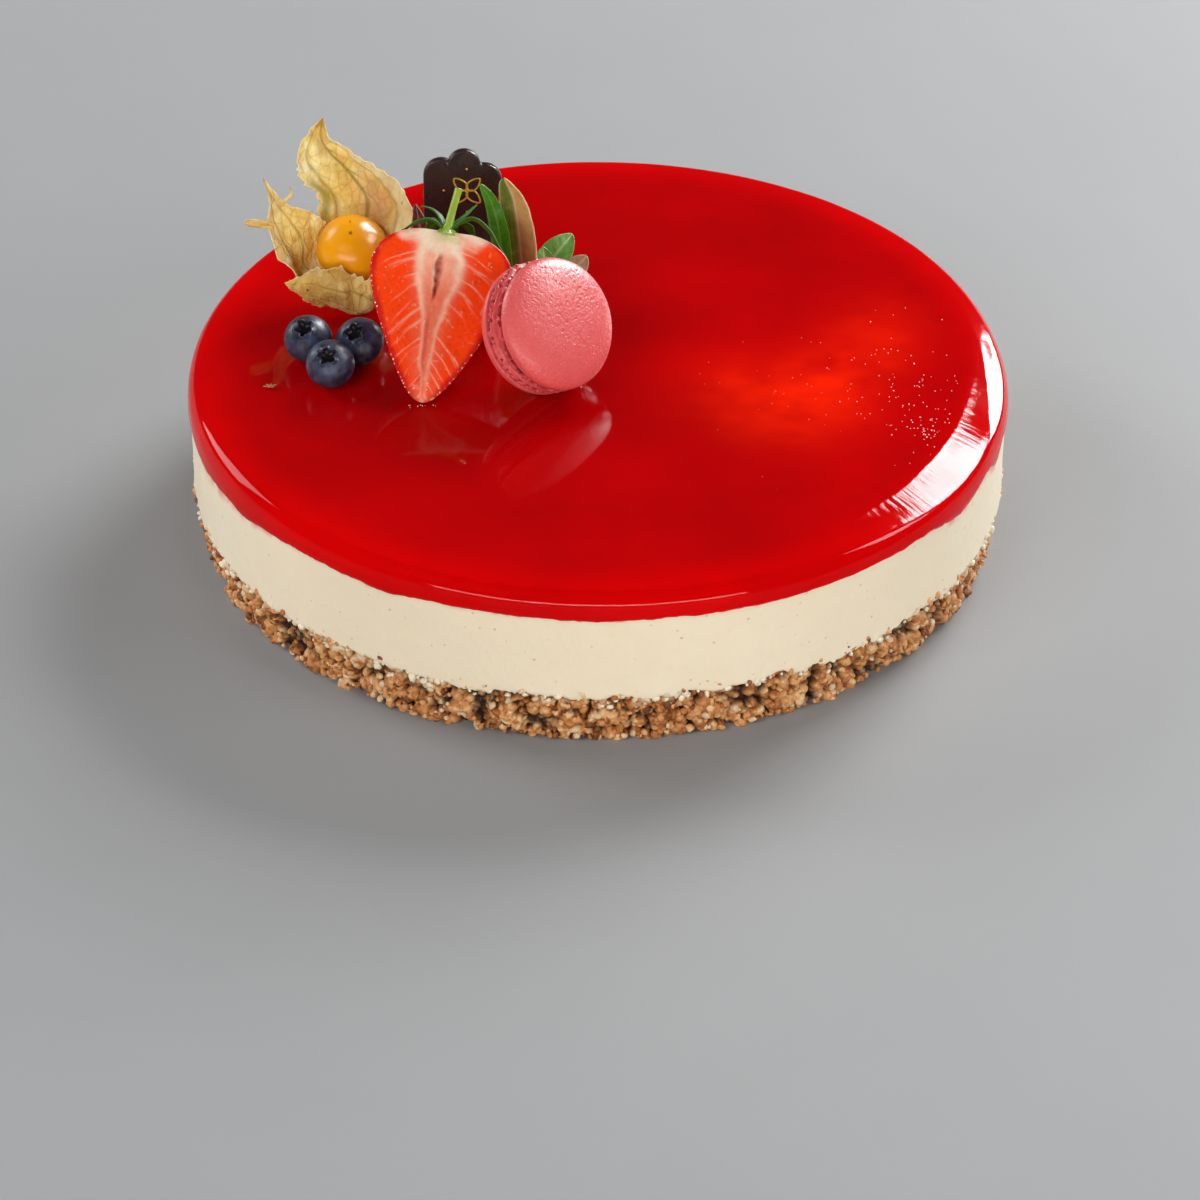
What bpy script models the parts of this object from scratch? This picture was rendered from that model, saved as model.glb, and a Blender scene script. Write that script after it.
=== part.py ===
"""Glazed cheesecake: a crumb base, a cream cheese layer and a red mirror glaze, with fruit, a macaron,
a chocolate plaque and leaves standing on the glaze. Blender 4.5, metres, +Z up.
The origin is the centre of the flat underside."""

import math
from math import cos, pi, radians, sin

import bmesh
import bpy
from mathutils import Matrix, Vector, noise

MM = 0.001
GAP = 0.3 * MM

# The cake
CAKE_RADIUS = 112.5 * MM
CAKE_HEIGHT = 49.0 * MM
CRUMB_HEIGHT = 15.6 * MM
CRUMB_TOP_RADIUS = 109.8 * MM
CRUMB_FOOT_RADIUS = 107.2 * MM
CRUMB_FLAT_RADIUS = 98.0 * MM
CRUMB_RELIEF = 2.0 * MM
CRUMB_LUMP = 6.5 * MM
CRUMB_ROWS = 5
CRUMB_STEPS = 180
SEAM_WAVE = 0.7 * MM
GLAZE_THICKNESS = 3.0 * MM
GLAZE_EDGE = 4.0 * MM
GLAZE_LIP = 8.3 * MM
GLAZE_SKIN = 0.5 * MM
LIP_RIPPLE = 0.25 * MM
LAYER_STEPS = 120
# Where the glaze has run further down the side: degrees round the cake, half width in degrees, drop in mm
RUNS = (
    (-30, 6.5, 3.2),
    (-16, 3, 3.6),
    (-4, 5, 1.6),
    (-160, 11, 2.4),
    (-147, 3.5, 1.6),
    (-120, 4, 0.9),
    (70, 7, 2.0),
    (112, 5, 1.4),
)

# The fruit and sweets. Places are in mm, and heights are over the glaze
BLUEBERRY_RADIUS = 6.7 * MM
BLUEBERRY_CROWN = 2.5 * MM
BLUEBERRY_FLATNESS = 0.90
BLUEBERRIES = (
    # x, y, and the way the crown faces
    (-79.4, 1.7, (-0.16, -0.46, 0.87)),
    (-65.2, 0.4, (-0.24, -0.53, 0.81)),
    (-72.8, -11.2, (-0.12, -0.58, 0.80)),
)
PHYSALIS_RADIUS = 10.0 * MM
PHYSALIS_PLACE = (-68.2, 34.6, 15.2)
PHYSALIS_TIP_WAY = (0.03, -0.40, 0.92)
BERRY_LENGTH = 48.4 * MM
BERRY_HALF_WIDTH = 18.8 * MM
BERRY_DEPTH = 0.80
BERRY_DIP = 2.4 * MM
BERRY_DIP_RADIUS = 4.6 * MM
BERRY_LEAN = radians(42)
BERRY_ROLL = radians(8)
BERRY_PLACE = (-47.9, -21.8)
MACARON_RADIUS = 18.4 * MM
MACARON_DOME = 6.0 * MM
MACARON_FOOT = 3.2 * MM
MACARON_FILLING = 1.0 * MM
MACARON_WAY = (0.602, -0.587, 0.541)
MACARON_PLACE = (-13.9, -10.3)
PLAQUE_WIDTH = 21.7
PLAQUE_HEIGHT = 41.9
PLAQUE_THICKNESS = 2.2 * MM
PLAQUE_PLACE = (-37.7, 38.0)
PLAQUE_LEAN = radians(8)
LEAF_THICKNESS = 0.5 * MM

# Red, green, blue and roughness
COLOURS = {
    "crumb": (0.40, 0.19, 0.07, 0.85),
    "cream": (0.83, 0.72, 0.50, 0.55),
    "glaze": (0.55, 0.004, 0.006, 0.06),
    "blueberry": (0.035, 0.045, 0.085, 0.45),
    "physalis": (0.93, 0.36, 0.01, 0.25),
    "husk": (0.72, 0.50, 0.17, 0.75),
    "berry": (0.80, 0.10, 0.04, 0.30),
    "calyx": (0.10, 0.24, 0.03, 0.45),
    "macaron": (0.76, 0.15, 0.15, 0.50),
    "filling": (0.70, 0.11, 0.12, 0.40),
    "chocolate": (0.025, 0.010, 0.009, 0.25),
    "leaf_green": (0.07, 0.22, 0.03, 0.40),
    "leaf_brown": (0.40, 0.22, 0.11, 0.65),
    "leaf_dark": (0.10, 0.012, 0.014, 0.45),
}


def material(name):
    """A Principled BSDF with the part's colour and roughness."""
    if name in bpy.data.materials:
        return bpy.data.materials[name]
    made = bpy.data.materials.new(name)
    made.use_nodes = True
    shader = made.node_tree.nodes["Principled BSDF"]
    red, green, blue, rough = COLOURS[name]
    shader.inputs["Base Color"].default_value = (red, green, blue, 1)
    shader.inputs["Roughness"].default_value = rough
    shader.inputs["Metallic"].default_value = 0.0
    return made


def clear_scene():
    for old in list(bpy.data.objects):
        bpy.data.objects.remove(old)


def new_collection(name):
    made = bpy.data.collections.new(name)
    bpy.context.scene.collection.children.link(made)
    return made


def add_object(name, mesh, colour, collection):
    made = bpy.data.objects.new(name, mesh)
    mesh.materials.clear()
    mesh.materials.append(material(colour))
    collection.objects.link(made)
    return made


def evaluated_mesh(obj):
    """The object's mesh with its modifiers applied."""
    bpy.context.view_layer.update()
    graph = bpy.context.evaluated_depsgraph_get()
    return bpy.data.meshes.new_from_object(obj.evaluated_get(graph), depsgraph=graph)


def apply_modifiers(obj):
    mesh = evaluated_mesh(obj)
    obj.modifiers.clear()
    obj.data = mesh


def join(made, piece):
    """Adds the piece to the object as one solid, worked out at a scale of millimetres."""
    for obj in (made, piece):
        apply_modifiers(obj)
        obj.data.transform(Matrix.Scale(1 / MM, 4))
    union = made.modifiers.new("join", "BOOLEAN")
    union.operation = "UNION"
    union.object = piece
    apply_modifiers(made)
    made.data.transform(Matrix.Scale(MM, 4))
    bpy.data.objects.remove(piece)


def mesh_of_curve(curve, collection):
    """A closed mesh of a curve, with its caps welded on."""
    holder = bpy.data.objects.new("curve_holder", curve)
    collection.objects.link(holder)
    mesh = evaluated_mesh(holder)
    bpy.data.objects.remove(holder)
    welded = bmesh.new()
    welded.from_mesh(mesh)
    bmesh.ops.remove_doubles(welded, verts=welded.verts[:], dist=0.001 * MM)
    welded.to_mesh(mesh)
    welded.free()
    return mesh


def smooth(obj, degrees=40):
    obj.data.shade_smooth()
    obj.data.set_sharp_from_angle(angle=radians(degrees))


def turned(name, profile, steps, colour, collection):
    """A profile of (radius, height) pairs, run down its outer side and turned once about Z."""
    mesh = bpy.data.meshes.new(name)
    points = [(radius, 0, height) for radius, height in profile]
    mesh.from_pydata(points, [(i, i + 1) for i in range(len(points) - 1)], [])
    made = add_object(name, mesh, colour, collection)
    screw = made.modifiers.new("turn", "SCREW")
    screw.steps = steps
    screw.render_steps = steps
    screw.use_merge_vertices = True
    screw.merge_threshold = 0.00001
    apply_modifiers(made)
    return made


def reshape(obj, move):
    """Moves each vertex of the object to move(its place)."""
    for vertex in obj.data.vertices:
        vertex.co = move(vertex.co.copy())
    obj.data.update()


def quarter_round(radius, height, edge, segments):
    """Points down a rounded edge that ends at this radius, below this height."""
    turns = [pi / 2 * (1 - i / segments) for i in range(segments + 1)]
    return [(radius - edge + edge * cos(t), height - edge + edge * sin(t)) for t in turns]


def curve_point(points, share):
    """The point of a smooth curve through the points, at this share of its way."""
    place = share * (len(points) - 1)
    i = min(int(place), len(points) - 2)
    t = place - i
    a, b, c, d = (Vector(points[min(max(k, 0), len(points) - 1)]) for k in (i - 1, i, i + 1, i + 2))
    return 0.5 * (2 * b + (c - a) * t + (2 * a - 5 * b + 4 * c - d) * t**2 + (3 * b - a - 3 * c + d) * t**3)


def rest_on_glaze(*objects):
    """Lifts or lowers the objects together until their lowest point is just over the glaze."""
    bpy.context.view_layer.update()
    lowest = min((obj.matrix_world @ v.co).z for obj in objects for v in obj.data.vertices)
    for obj in objects:
        obj.location.z += CAKE_HEIGHT + GAP - lowest
    bpy.context.view_layer.update()


def facing(way):
    """The rotation that turns +Z to this way, keeping +X level."""
    axis = Vector(way).normalized()
    level = Vector((0, 0, 1)).cross(axis).normalized()
    return Matrix((level, axis.cross(level), axis)).transposed()


# The cake's three layers

def seam_rise(place):
    """How far the seam between crumb and cream rises at this place on the rim."""
    angle = math.atan2(place.y, place.x)
    return SEAM_WAVE * (0.6 * sin(9 * angle + 0.7) + 0.4 * sin(17 * angle + 2.1))


def lump_relief(place):
    """Above 0 on the lumps of the crumb wall and below 0 in the clefts between them."""
    near, _ = noise.voronoi(place / CRUMB_LUMP)
    return 1.0 - 2.4 * near[0] + 0.6 * noise.noise(place / (2.7 * CRUMB_LUMP))


def crumb_base(collection):
    """The pressed nut and biscuit base: a disc with a craggy wall."""
    fall = CRUMB_FOOT_RADIUS - CRUMB_TOP_RADIUS
    shares = [i / CRUMB_ROWS for i in range(CRUMB_ROWS + 1)]
    wall = [(CRUMB_TOP_RADIUS + fall * share, CRUMB_HEIGHT * (1 - share)) for share in shares]
    profile = [(0, CRUMB_HEIGHT), (CRUMB_FLAT_RADIUS, CRUMB_HEIGHT), *wall, (0, 0)]
    made = turned("crumb_base", profile, CRUMB_STEPS, "crumb", collection)

    def crag(place):
        radius = place.xy.length
        if radius < CRUMB_FLAT_RADIUS + 1 * MM:
            return place
        under_cream = place.z > CRUMB_HEIGHT - 1 * MM
        relief = CRUMB_RELIEF * lump_relief(place) * (0.3 if under_cream else 1.0)
        grow = 1 + relief / radius
        return Vector((place.x * grow, place.y * grow, place.z + seam_rise(place) * place.z / CRUMB_HEIGHT))

    reshape(made, crag)


def cream_layer(collection):
    """The cream cheese layer, whose top edge is rounded under the glaze."""
    radius = CAKE_RADIUS - GLAZE_SKIN - GAP
    top = CAKE_HEIGHT - GLAZE_THICKNESS - GAP
    bottom = CRUMB_HEIGHT + GAP
    edge = GLAZE_EDGE - GLAZE_SKIN - 4 * GAP
    underside = [(radius, bottom), (CRUMB_FLAT_RADIUS, bottom), (0, bottom)]
    profile = [(0, top), *quarter_round(radius, top, edge, 3), *underside]
    made = turned("cream_layer", profile, LAYER_STEPS, "cream", collection)

    def follow_seam(place):
        if place.z < bottom + 0.1 * MM and place.xy.length > CRUMB_FLAT_RADIUS + 1 * MM:
            place.z += seam_rise(place)
        return place

    reshape(made, follow_seam)
    smooth(made)


def lip_drop(place):
    """How far the glaze has run past its usual lip at this place on the rim."""
    angle = math.degrees(math.atan2(place.y, place.x))
    drop = LIP_RIPPLE * noise.noise(Vector((place.x, place.y, 0)) / (13 * MM))
    for centre, half_width, extra in RUNS:
        away = (angle - centre + 180) % 360 - 180
        drop += extra * MM * math.exp(-((away / half_width) ** 2))
    return drop


def glaze_top(collection):
    """The mirror glaze: a flat sheet with a rounded edge and a thin lip that has run down the side."""
    lip = CAKE_HEIGHT - GLAZE_LIP
    inside = CAKE_RADIUS - GLAZE_SKIN
    under = CAKE_HEIGHT - GLAZE_THICKNESS
    inside_edge = GLAZE_EDGE - GLAZE_SKIN - 3 * GAP
    outer = [(0, CAKE_HEIGHT), *quarter_round(CAKE_RADIUS, CAKE_HEIGHT, GLAZE_EDGE, 3), (CAKE_RADIUS, lip)]
    inner = [(inside, lip), *reversed(quarter_round(inside, under, inside_edge, 2)), (0, under)]
    made = turned("glaze_top", outer + inner, LAYER_STEPS, "glaze", collection)

    def run_down(place):
        if place.z < lip + 0.1 * MM:
            place.z -= lip_drop(place)
        return place

    reshape(made, run_down)
    smooth(made)


# The round fruit

def blueberries(collection):
    """Three round berries, each with a star-shaped crown round a pit."""
    height = BLUEBERRY_FLATNESS * BLUEBERRY_RADIUS
    turns = [radians(degrees) for degrees in (66, 48, 28, 6, -18, -42, -66)]
    body = [(BLUEBERRY_RADIUS * cos(t), height * sin(t)) for t in turns]
    crown = [(0, 0.80 * height), (0.66 * BLUEBERRY_CROWN, 0.82 * height), (BLUEBERRY_CROWN, height)]

    def star(place):
        if abs(place.xy.length - BLUEBERRY_CROWN) < 0.1 * MM and place.z > 0:
            point = cos(5 * math.atan2(place.y, place.x))
            place.z += 0.25 * MM * point
            place.xy *= 1 + 0.12 * point
        return place

    for number, (x, y, crown_way) in enumerate(BLUEBERRIES, 1):
        made = turned(f"blueberry_{number}", [*crown, *body, (0, -height)], 15, "blueberry", collection)
        reshape(made, star)
        made.rotation_euler = facing(crown_way).to_euler()
        made.location = (x * MM, y * MM, 0)
        rest_on_glaze(made)
        smooth(made, 50)


def physalis_berry(collection):
    """The round orange fruit, sitting in its husk."""
    turns = [radians(80 - 16 * i) for i in range(11)]
    height = 0.97 * PHYSALIS_RADIUS
    side = [(PHYSALIS_RADIUS * cos(t), height * sin(t)) for t in turns]
    made = turned("physalis_berry", [(0, 0.98 * height), *side, (0, -height)], 18, "physalis", collection)
    made.rotation_euler = facing(PHYSALIS_TIP_WAY).to_euler()
    x, y, lift = PHYSALIS_PLACE
    made.location = (x * MM, y * MM, CAKE_HEIGHT + lift * MM)
    smooth(made, 60)
    return made


# The papery husk

HUSK_FOOT = (-65.3, 30.2, 4.3)
HUSK_RING = 4.4
HUSK_FLOOR = 0.6
HUSK_CLEARANCE = 1.8
HUSK_STALK_END = (-63.4, 27.0, 1.5)
HUSK_STALK_RADIUS = 1.2
HUSK_ROWS = 11
HUSK_COLUMNS = 7
# Each lobe spans the ring between two turns in degrees, and its first and last edges run up to its tip
HUSK_LOBES = (
    {
        "turns": (-25, 140),
        "first": ((-56, 27, 9), (-52.6, 33, 17), (-51.4, 39.5, 24.6), (-56, 46, 31), (-66, 51.5, 35.4),
                  (-74.2, 54.5, 38.6)),
        "last": ((-74, 39, 9), (-78.2, 44.5, 17.5), (-78.2, 47, 25), (-82.6, 47.5, 29.6), (-84.2, 49.5, 35),
                 (-81.6, 53, 40.6)),
        "tip": (-76.6, 56, 45.2),
        "bulge": (1, 5.5, -1),
        "ripple": 0.7,
        "waves": 9,
    },
    {
        "turns": (140, 205),
        "first": ((-74.6, 36, 6), (-78, 40, 12), (-76.4, 41.6, 18.5), (-79.4, 41, 23), (-86.6, 39.5, 27.6)),
        "last": ((-74.5, 26.8, 5), (-82, 27.3, 9.6), (-88, 30.5, 15), (-91.6, 34.5, 22), (-91.8, 38, 29)),
        "tip": (-92.6, 40, 35),
        "bulge": (-3.5, 0.5, -2),
        "ripple": 0.6,
        "waves": 8,
    },
    {
        "turns": (205, 335),
        "first": ((-70.5, 24.2, 1.2), (-76.2, 24.2, 2.2), (-82, 26, 4.8)),
        "last": ((-58.5, 23.3, 9), (-63.5, 22.2, 15), (-71, 22.0, 16.8), (-79, 23.8, 15)),
        "tip": (-87, 28.5, 8.2),
        "bulge": (2, -3.4, -2.5),
        "ripple": 0.5,
        "waves": 7,
    },
)


def clear_of_fruit(place):
    """The place, moved outwards if it is too near the fruit."""
    out = place - Vector(PHYSALIS_PLACE)
    clear = PHYSALIS_RADIUS / MM + HUSK_CLEARANCE
    return place + out * max(0, clear / out.length - 1)


def husk_ring(turn):
    """The point of the husk's small cup under the fruit at this turn in degrees."""
    way = Vector((cos(radians(turn)), sin(radians(turn)), 0.15))
    return clear_of_fruit(Vector(HUSK_FOOT) + way * HUSK_RING)


def husk_point(lobe, across, along):
    """A point of a lobe: across goes from its first edge to its last, and along from the ring to its tip."""
    turns = lobe["turns"]
    bulge = Vector(lobe["bulge"])
    first = curve_point((husk_ring(turns[0]), *lobe["first"], lobe["tip"]), along)
    last = curve_point((husk_ring(turns[1]), *lobe["last"], lobe["tip"]), along)
    belly = sin(pi * across) * min(1, 3 * along) * (1 - along**3)
    place = first.lerp(last, across) + bulge * belly
    around = husk_ring(turns[0] + (turns[1] - turns[0]) * across)
    place = around.lerp(place, min(1, 5 * along))
    edge = abs(2 * across - 1) * min(1, 4 * along) * (1 - along)
    place += bulge.normalized() * (lobe["ripple"] * edge * sin(lobe["waves"] * along + 5 * across))
    place = clear_of_fruit(place)
    place.z = max(place.z, HUSK_FLOOR)
    return place


def husk_surface(rows, columns):
    """The small cup under the fruit and the lobes that open from it, as one open surface of triangles."""
    made = bmesh.new()

    def add(place):
        return made.verts.new((place.x * MM, place.y * MM, CAKE_HEIGHT + place.z * MM))

    centre = add(Vector(HUSK_FOOT))
    ring = {}
    for lobe in HUSK_LOBES:
        first, last = lobe["turns"]
        below = []
        for j in range(columns + 1):
            turn = first + (last - first) * j / columns
            key = round(turn % 360, 3)
            if key not in ring:
                ring[key] = add(husk_ring(turn))
            below.append(ring[key])
        for j in range(columns):
            made.faces.new((centre, below[j], below[j + 1]))
        for i in range(1, rows):
            line = [add(husk_point(lobe, j / columns, i / rows)) for j in range(columns + 1)]
            for j in range(columns):
                made.faces.new((below[j], line[j], line[j + 1], below[j + 1]))
            below = line
        tip = add(Vector(lobe["tip"]))
        for j in range(columns):
            made.faces.new((below[j], tip, below[j + 1]))
    bmesh.ops.recalc_face_normals(made, faces=made.faces[:])
    bmesh.ops.triangulate(made, faces=made.faces[:])
    mesh = bpy.data.meshes.new("physalis_husk")
    made.to_mesh(mesh)
    made.free()
    return mesh


def thicken(obj, thickness):
    """Turns an open surface of triangles into a thin solid, both faces split alike."""
    solid = obj.modifiers.new("thickness", "SOLIDIFY")
    solid.thickness = thickness
    solid.offset = 0


def husk_stalk(collection):
    """The stub of a stalk, from just under the fruit through the husk's foot and down."""
    fruit = Vector(PHYSALIS_PLACE)
    way = (fruit - Vector(HUSK_FOOT)).normalized()
    route = (fruit - way * (PHYSALIS_RADIUS + GAP) / MM, HUSK_FOOT, HUSK_STALK_END)
    curve = bpy.data.curves.new("husk_stalk", "CURVE")
    curve.dimensions = "3D"
    curve.bevel_depth = HUSK_STALK_RADIUS * MM
    curve.bevel_resolution = 1
    curve.use_fill_caps = True
    line = curve.splines.new("POLY")
    steps = 4
    line.points.add(steps)
    for i in range(steps + 1):
        place = curve_point(route, i / steps) * MM
        line.points[i].co = (place.x, place.y, place.z + CAKE_HEIGHT, 1)
    return mesh_of_curve(curve, collection)


def physalis(collection):
    """The fruit in its papery husk, set on the glaze together."""
    fruit = physalis_berry(collection)
    husk = add_object("physalis_husk", husk_surface(HUSK_ROWS, HUSK_COLUMNS), "husk", collection)
    thicken(husk, LEAF_THICKNESS)
    join(husk, add_object("husk_stalk", husk_stalk(collection), "husk", collection))
    rest_on_glaze(husk, fruit)


# The strawberry

def berry_matrix():
    """The strawberry's own frame: its tip, then its right, its back and the way from tip to stalk."""
    upright = Vector((0, sin(BERRY_LEAN), cos(BERRY_LEAN)))
    back = Vector((0, cos(BERRY_LEAN), -sin(BERRY_LEAN)))
    level = Vector((1, 0, 0))
    right = level * cos(BERRY_ROLL) - upright * sin(BERRY_ROLL)
    axis = upright * cos(BERRY_ROLL) + level * sin(BERRY_ROLL)
    x, y = BERRY_PLACE
    turn = Matrix((right, back, axis)).transposed().to_4x4()
    return Matrix.Translation((x * MM, y * MM, CAKE_HEIGHT)) @ turn


def berry_profile(turn):
    """(radius, height over the tip) of the strawberry, from 0 at the tip to pi in the stalk's dip."""
    rise = (1 - cos(turn)) / 2
    radius = BERRY_HALF_WIDTH * sin(turn) * (0.47 + 0.62 * rise + 0.6 * rise**3)
    dip = BERRY_DIP * math.exp(-((radius / BERRY_DIP_RADIUS) ** 2)) if rise > 0.6 else 0.0
    return radius, BERRY_LENGTH * rise - dip


def berry_shoulder(radius):
    """The height over the tip of the strawberry's upper side at this distance from its axis."""
    widest = max((pi * i / 60 for i in range(61)), key=lambda turn: berry_profile(turn)[0])
    low, high = widest, pi
    for _ in range(16):
        middle = (low + high) / 2
        low, high = (middle, high) if berry_profile(middle)[0] > radius else (low, middle)
    return berry_profile(low)[1]


def strawberry_half(collection):
    """Half a strawberry, cut along its axis, standing on its tip and leaning back."""
    rows = 17
    profile = [berry_profile(pi * (1 - i / rows)) for i in range(rows + 1)]
    profile[0] = (0, profile[0][1])
    profile[-1] = (0, profile[-1][1])
    made = turned("strawberry_half", profile, 26, "berry", collection)
    cut = bmesh.new()
    cut.from_mesh(made.data)
    geometry = cut.verts[:] + cut.edges[:] + cut.faces[:]
    plane = {"plane_co": (0, 0.01 * MM, 0), "plane_no": (0, -1, 0)}
    bmesh.ops.bisect_plane(cut, geom=geometry, dist=0.001 * MM, clear_outer=True, **plane)
    bmesh.ops.holes_fill(cut, edges=[edge for edge in cut.edges if edge.is_boundary])
    cut.to_mesh(made.data)
    cut.free()
    reshape(made, lambda place: Vector((place.x, place.y * BERRY_DEPTH, place.z)))
    made.matrix_world = berry_matrix()
    rest_on_glaze(made)
    smooth(made, 35)
    return made


# Blades: sepals and leaves

def blade_width(blade, along):
    """The blade's half width at this way along, from its foot, through its widest place, to its tip."""
    foot, belly = blade.get("foot", 0.45), blade.get("belly", 0.45)
    if along < belly:
        share = foot + (1 - foot) * sin(0.5 * pi * along / belly)
    else:
        share = max(0.06, cos(0.5 * pi * (along - belly) / (1 - belly)) ** blade.get("point", 0.9))
    return blade["half_width"] * share


def blade_point(blade, across, along):
    """A point of a blade: across from -1 to 1, along from its foot (0) to its tip (1)."""
    spine = blade["spine"]
    centre = curve_point(spine, along)
    before, after = (curve_point(spine, min(1, max(0, along + step))) for step in (-0.03, 0.03))
    tangent = (after - before).normalized()
    side = Vector(blade["side"]).lerp(Vector(blade.get("side_tip", blade["side"])), along)
    side = (side - tangent * side.dot(tangent)).normalized()
    half = blade_width(blade, along)
    rise = half * blade.get("fold", 0.25) * abs(across)
    rise += blade.get("ripple", 0.3) * across * sin(5 * along + 2 * across)
    return centre + side * (across * half) + side.cross(tangent) * rise


def blade_mesh(name, blade, rows, columns):
    """An open surface of triangles for the blade, in metres."""
    made = bmesh.new()
    grid = []
    for i in range(rows + 1):
        line = [blade_point(blade, 2 * j / columns - 1, i / rows) for j in range(columns + 1)]
        grid.append([made.verts.new(place * MM) for place in line])
    for i in range(rows):
        for j in range(columns):
            made.faces.new((grid[i][j], grid[i][j + 1], grid[i + 1][j + 1], grid[i + 1][j]))
    bmesh.ops.triangulate(made, faces=made.faces[:])
    mesh = bpy.data.meshes.new(name)
    made.to_mesh(mesh)
    made.free()
    return mesh


# Each sepal in the strawberry's frame, from the stalk's foot: degrees round the stalk from the right (90 is
# the back), then reach, rise, height of its tip and half width, in mm
SEPALS = (
    (176, 12.3, 3.6, -1.4, 1.9),
    (150, 9.5, 6.4, 7.0, 1.7),
    (122, 12.0, 4.8, -0.5, 2.2),
    (88, 14.0, 4.6, -3.0, 2.4),
    (56, 13.0, 5.0, 1.5, 2.0),
    (33, 8.0, 4.8, 9.6, 1.2),
    (5, 17.0, 6.2, -6.4, 2.4),
)
SEPAL_CLEARANCE = 1.0
CALYX_LIFT = 1.4
STALK = ((0, 1.2, -0.6), (0.3, 1.2, 3.2), (0.8, 1.3, 7.6), (1.5, 1.5, 12.6))
STALK_RADII = (1.5, 1.15, 0.95, 0.9, 0.95, 1.05)


def sepal_blade(turn, reach, rise, tip, half_width):
    """The blade of a sepal that rises from the stalk's foot and arches out."""
    out = Vector((cos(radians(turn)), max(0.12, sin(radians(turn))), 0))
    foot = Vector((0, 0.7, 0))
    up = Vector((0, 0, 1))
    spine = (
        foot + out * 1.1,
        foot + out * (0.36 * reach) + up * (0.72 * rise),
        foot + out * (0.7 * reach) + up * (0.62 * rise + 0.38 * tip),
        foot + out * reach + up * tip,
    )
    return {"spine": spine, "side": out.cross(up), "half_width": half_width, "foot": 0.3}


def calyx_core():
    """The flat button that the stalk and the sepals grow from."""
    core = bmesh.new()
    bmesh.ops.create_uvsphere(core, u_segments=10, v_segments=6, radius=2.5 * MM)
    bmesh.ops.scale(core, vec=(1, 0.75, 0.42), verts=core.verts[:])
    bmesh.ops.translate(core, vec=(0, 1.2 * MM, 0.35 * MM), verts=core.verts[:])
    mesh = bpy.data.meshes.new("calyx_core")
    core.to_mesh(mesh)
    core.free()
    return mesh


def stalk_mesh(collection):
    stalk = bpy.data.curves.new("stalk", "CURVE")
    stalk.dimensions = "3D"
    stalk.bevel_depth = 1 * MM
    stalk.bevel_resolution = 1
    stalk.use_fill_caps = True
    line = stalk.splines.new("POLY")
    line.points.add(len(STALK_RADII) - 1)
    for i, radius in enumerate(STALK_RADII):
        line.points[i].co = (*(curve_point(STALK, i / (len(STALK_RADII) - 1)) * MM), 1)
        line.points[i].radius = radius
    return mesh_of_curve(stalk, collection)


def strawberry_calyx(collection, berry):
    """The green calyx: its button, stalk and sepals as one solid, standing in the strawberry's dip."""
    pieces = new_collection("calyx_pieces")
    made = add_object("strawberry_calyx", calyx_core(), "calyx", collection)
    add_object("stalk", stalk_mesh(pieces), "calyx", pieces)
    lift = berry_profile(pi)[1] + CALYX_LIFT * MM

    def over_berry(place):
        radius = math.hypot(place.x, place.y / BERRY_DEPTH)
        place.z = max(place.z, berry_shoulder(radius) - lift + SEPAL_CLEARANCE * MM)
        return place

    for number, sepal in enumerate(SEPALS, 1):
        name = f"sepal_{number}"
        blade = add_object(name, blade_mesh(name, sepal_blade(*sepal), 6, 2), "calyx", pieces)
        reshape(blade, over_berry)
        thicken(blade, LEAF_THICKNESS)
    for piece in list(pieces.objects):
        join(made, piece)
    bpy.data.collections.remove(pieces)
    made.data.materials.clear()
    made.data.materials.append(material("calyx"))
    made.matrix_world = berry.matrix_world @ Matrix.Translation((0, 0, lift))
    smooth(made, 50)


# The macaron

def macaron_profile():
    """(radius, height over the filling's face) of a shell, from the crown of its dome to its flat side."""
    radius, foot = MACARON_RADIUS, MACARON_FOOT
    turns = [radians(degrees) for degrees in (20, 40, 58, 74)]
    dome = [(0.985 * radius * sin(t), foot + MACARON_DOME * cos(t) ** 0.8) for t in turns]
    groove = [(0.985 * radius, foot + 0.2 * MM), (0.955 * radius, foot - 0.3 * MM)]
    frill = [(0.995 * radius, 0.45 * foot), (0.94 * radius, 0)]
    return [(0, foot + MACARON_DOME), *dome, *groove, *frill, (0, 0)]


def macaron(collection):
    """Two almond shells with frilled feet and a thin filling between them, leaning back on their edge."""
    x, y = MACARON_PLACE
    turn = facing(MACARON_WAY)
    place = Matrix.Translation((x * MM, y * MM, CAKE_HEIGHT))
    half = MACARON_FILLING / 2
    out = Matrix.Translation((0, 0, half + GAP))
    shells = {"macaron_shell_front": turn, "macaron_shell_back": turn @ Matrix.Rotation(pi, 3, "X")}

    def frill(place):
        if place.z < 0.9 * MACARON_FOOT and place.xy.length > 0.8 * MACARON_RADIUS:
            place.xy *= 1 + 0.03 * noise.noise(Vector((place.x, place.y, 0)) / (2.6 * MM))
        return place

    pieces = []
    for name, shell_turn in shells.items():
        shell = turned(name, macaron_profile(), 32, "macaron", collection)
        reshape(shell, frill)
        shell.matrix_world = place @ shell_turn.to_4x4() @ out
        smooth(shell, 50)
        pieces.append(shell)
    radius = 0.91 * MACARON_RADIUS
    profile = [(0, half), (0.985 * radius, half), (radius, 0), (0.985 * radius, -half), (0, -half)]
    filling = turned("macaron_filling", profile, 32, "filling", collection)
    filling.matrix_world = place @ turn.to_4x4()
    rest_on_glaze(*pieces, filling)


# The plaque and the leaves

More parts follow.
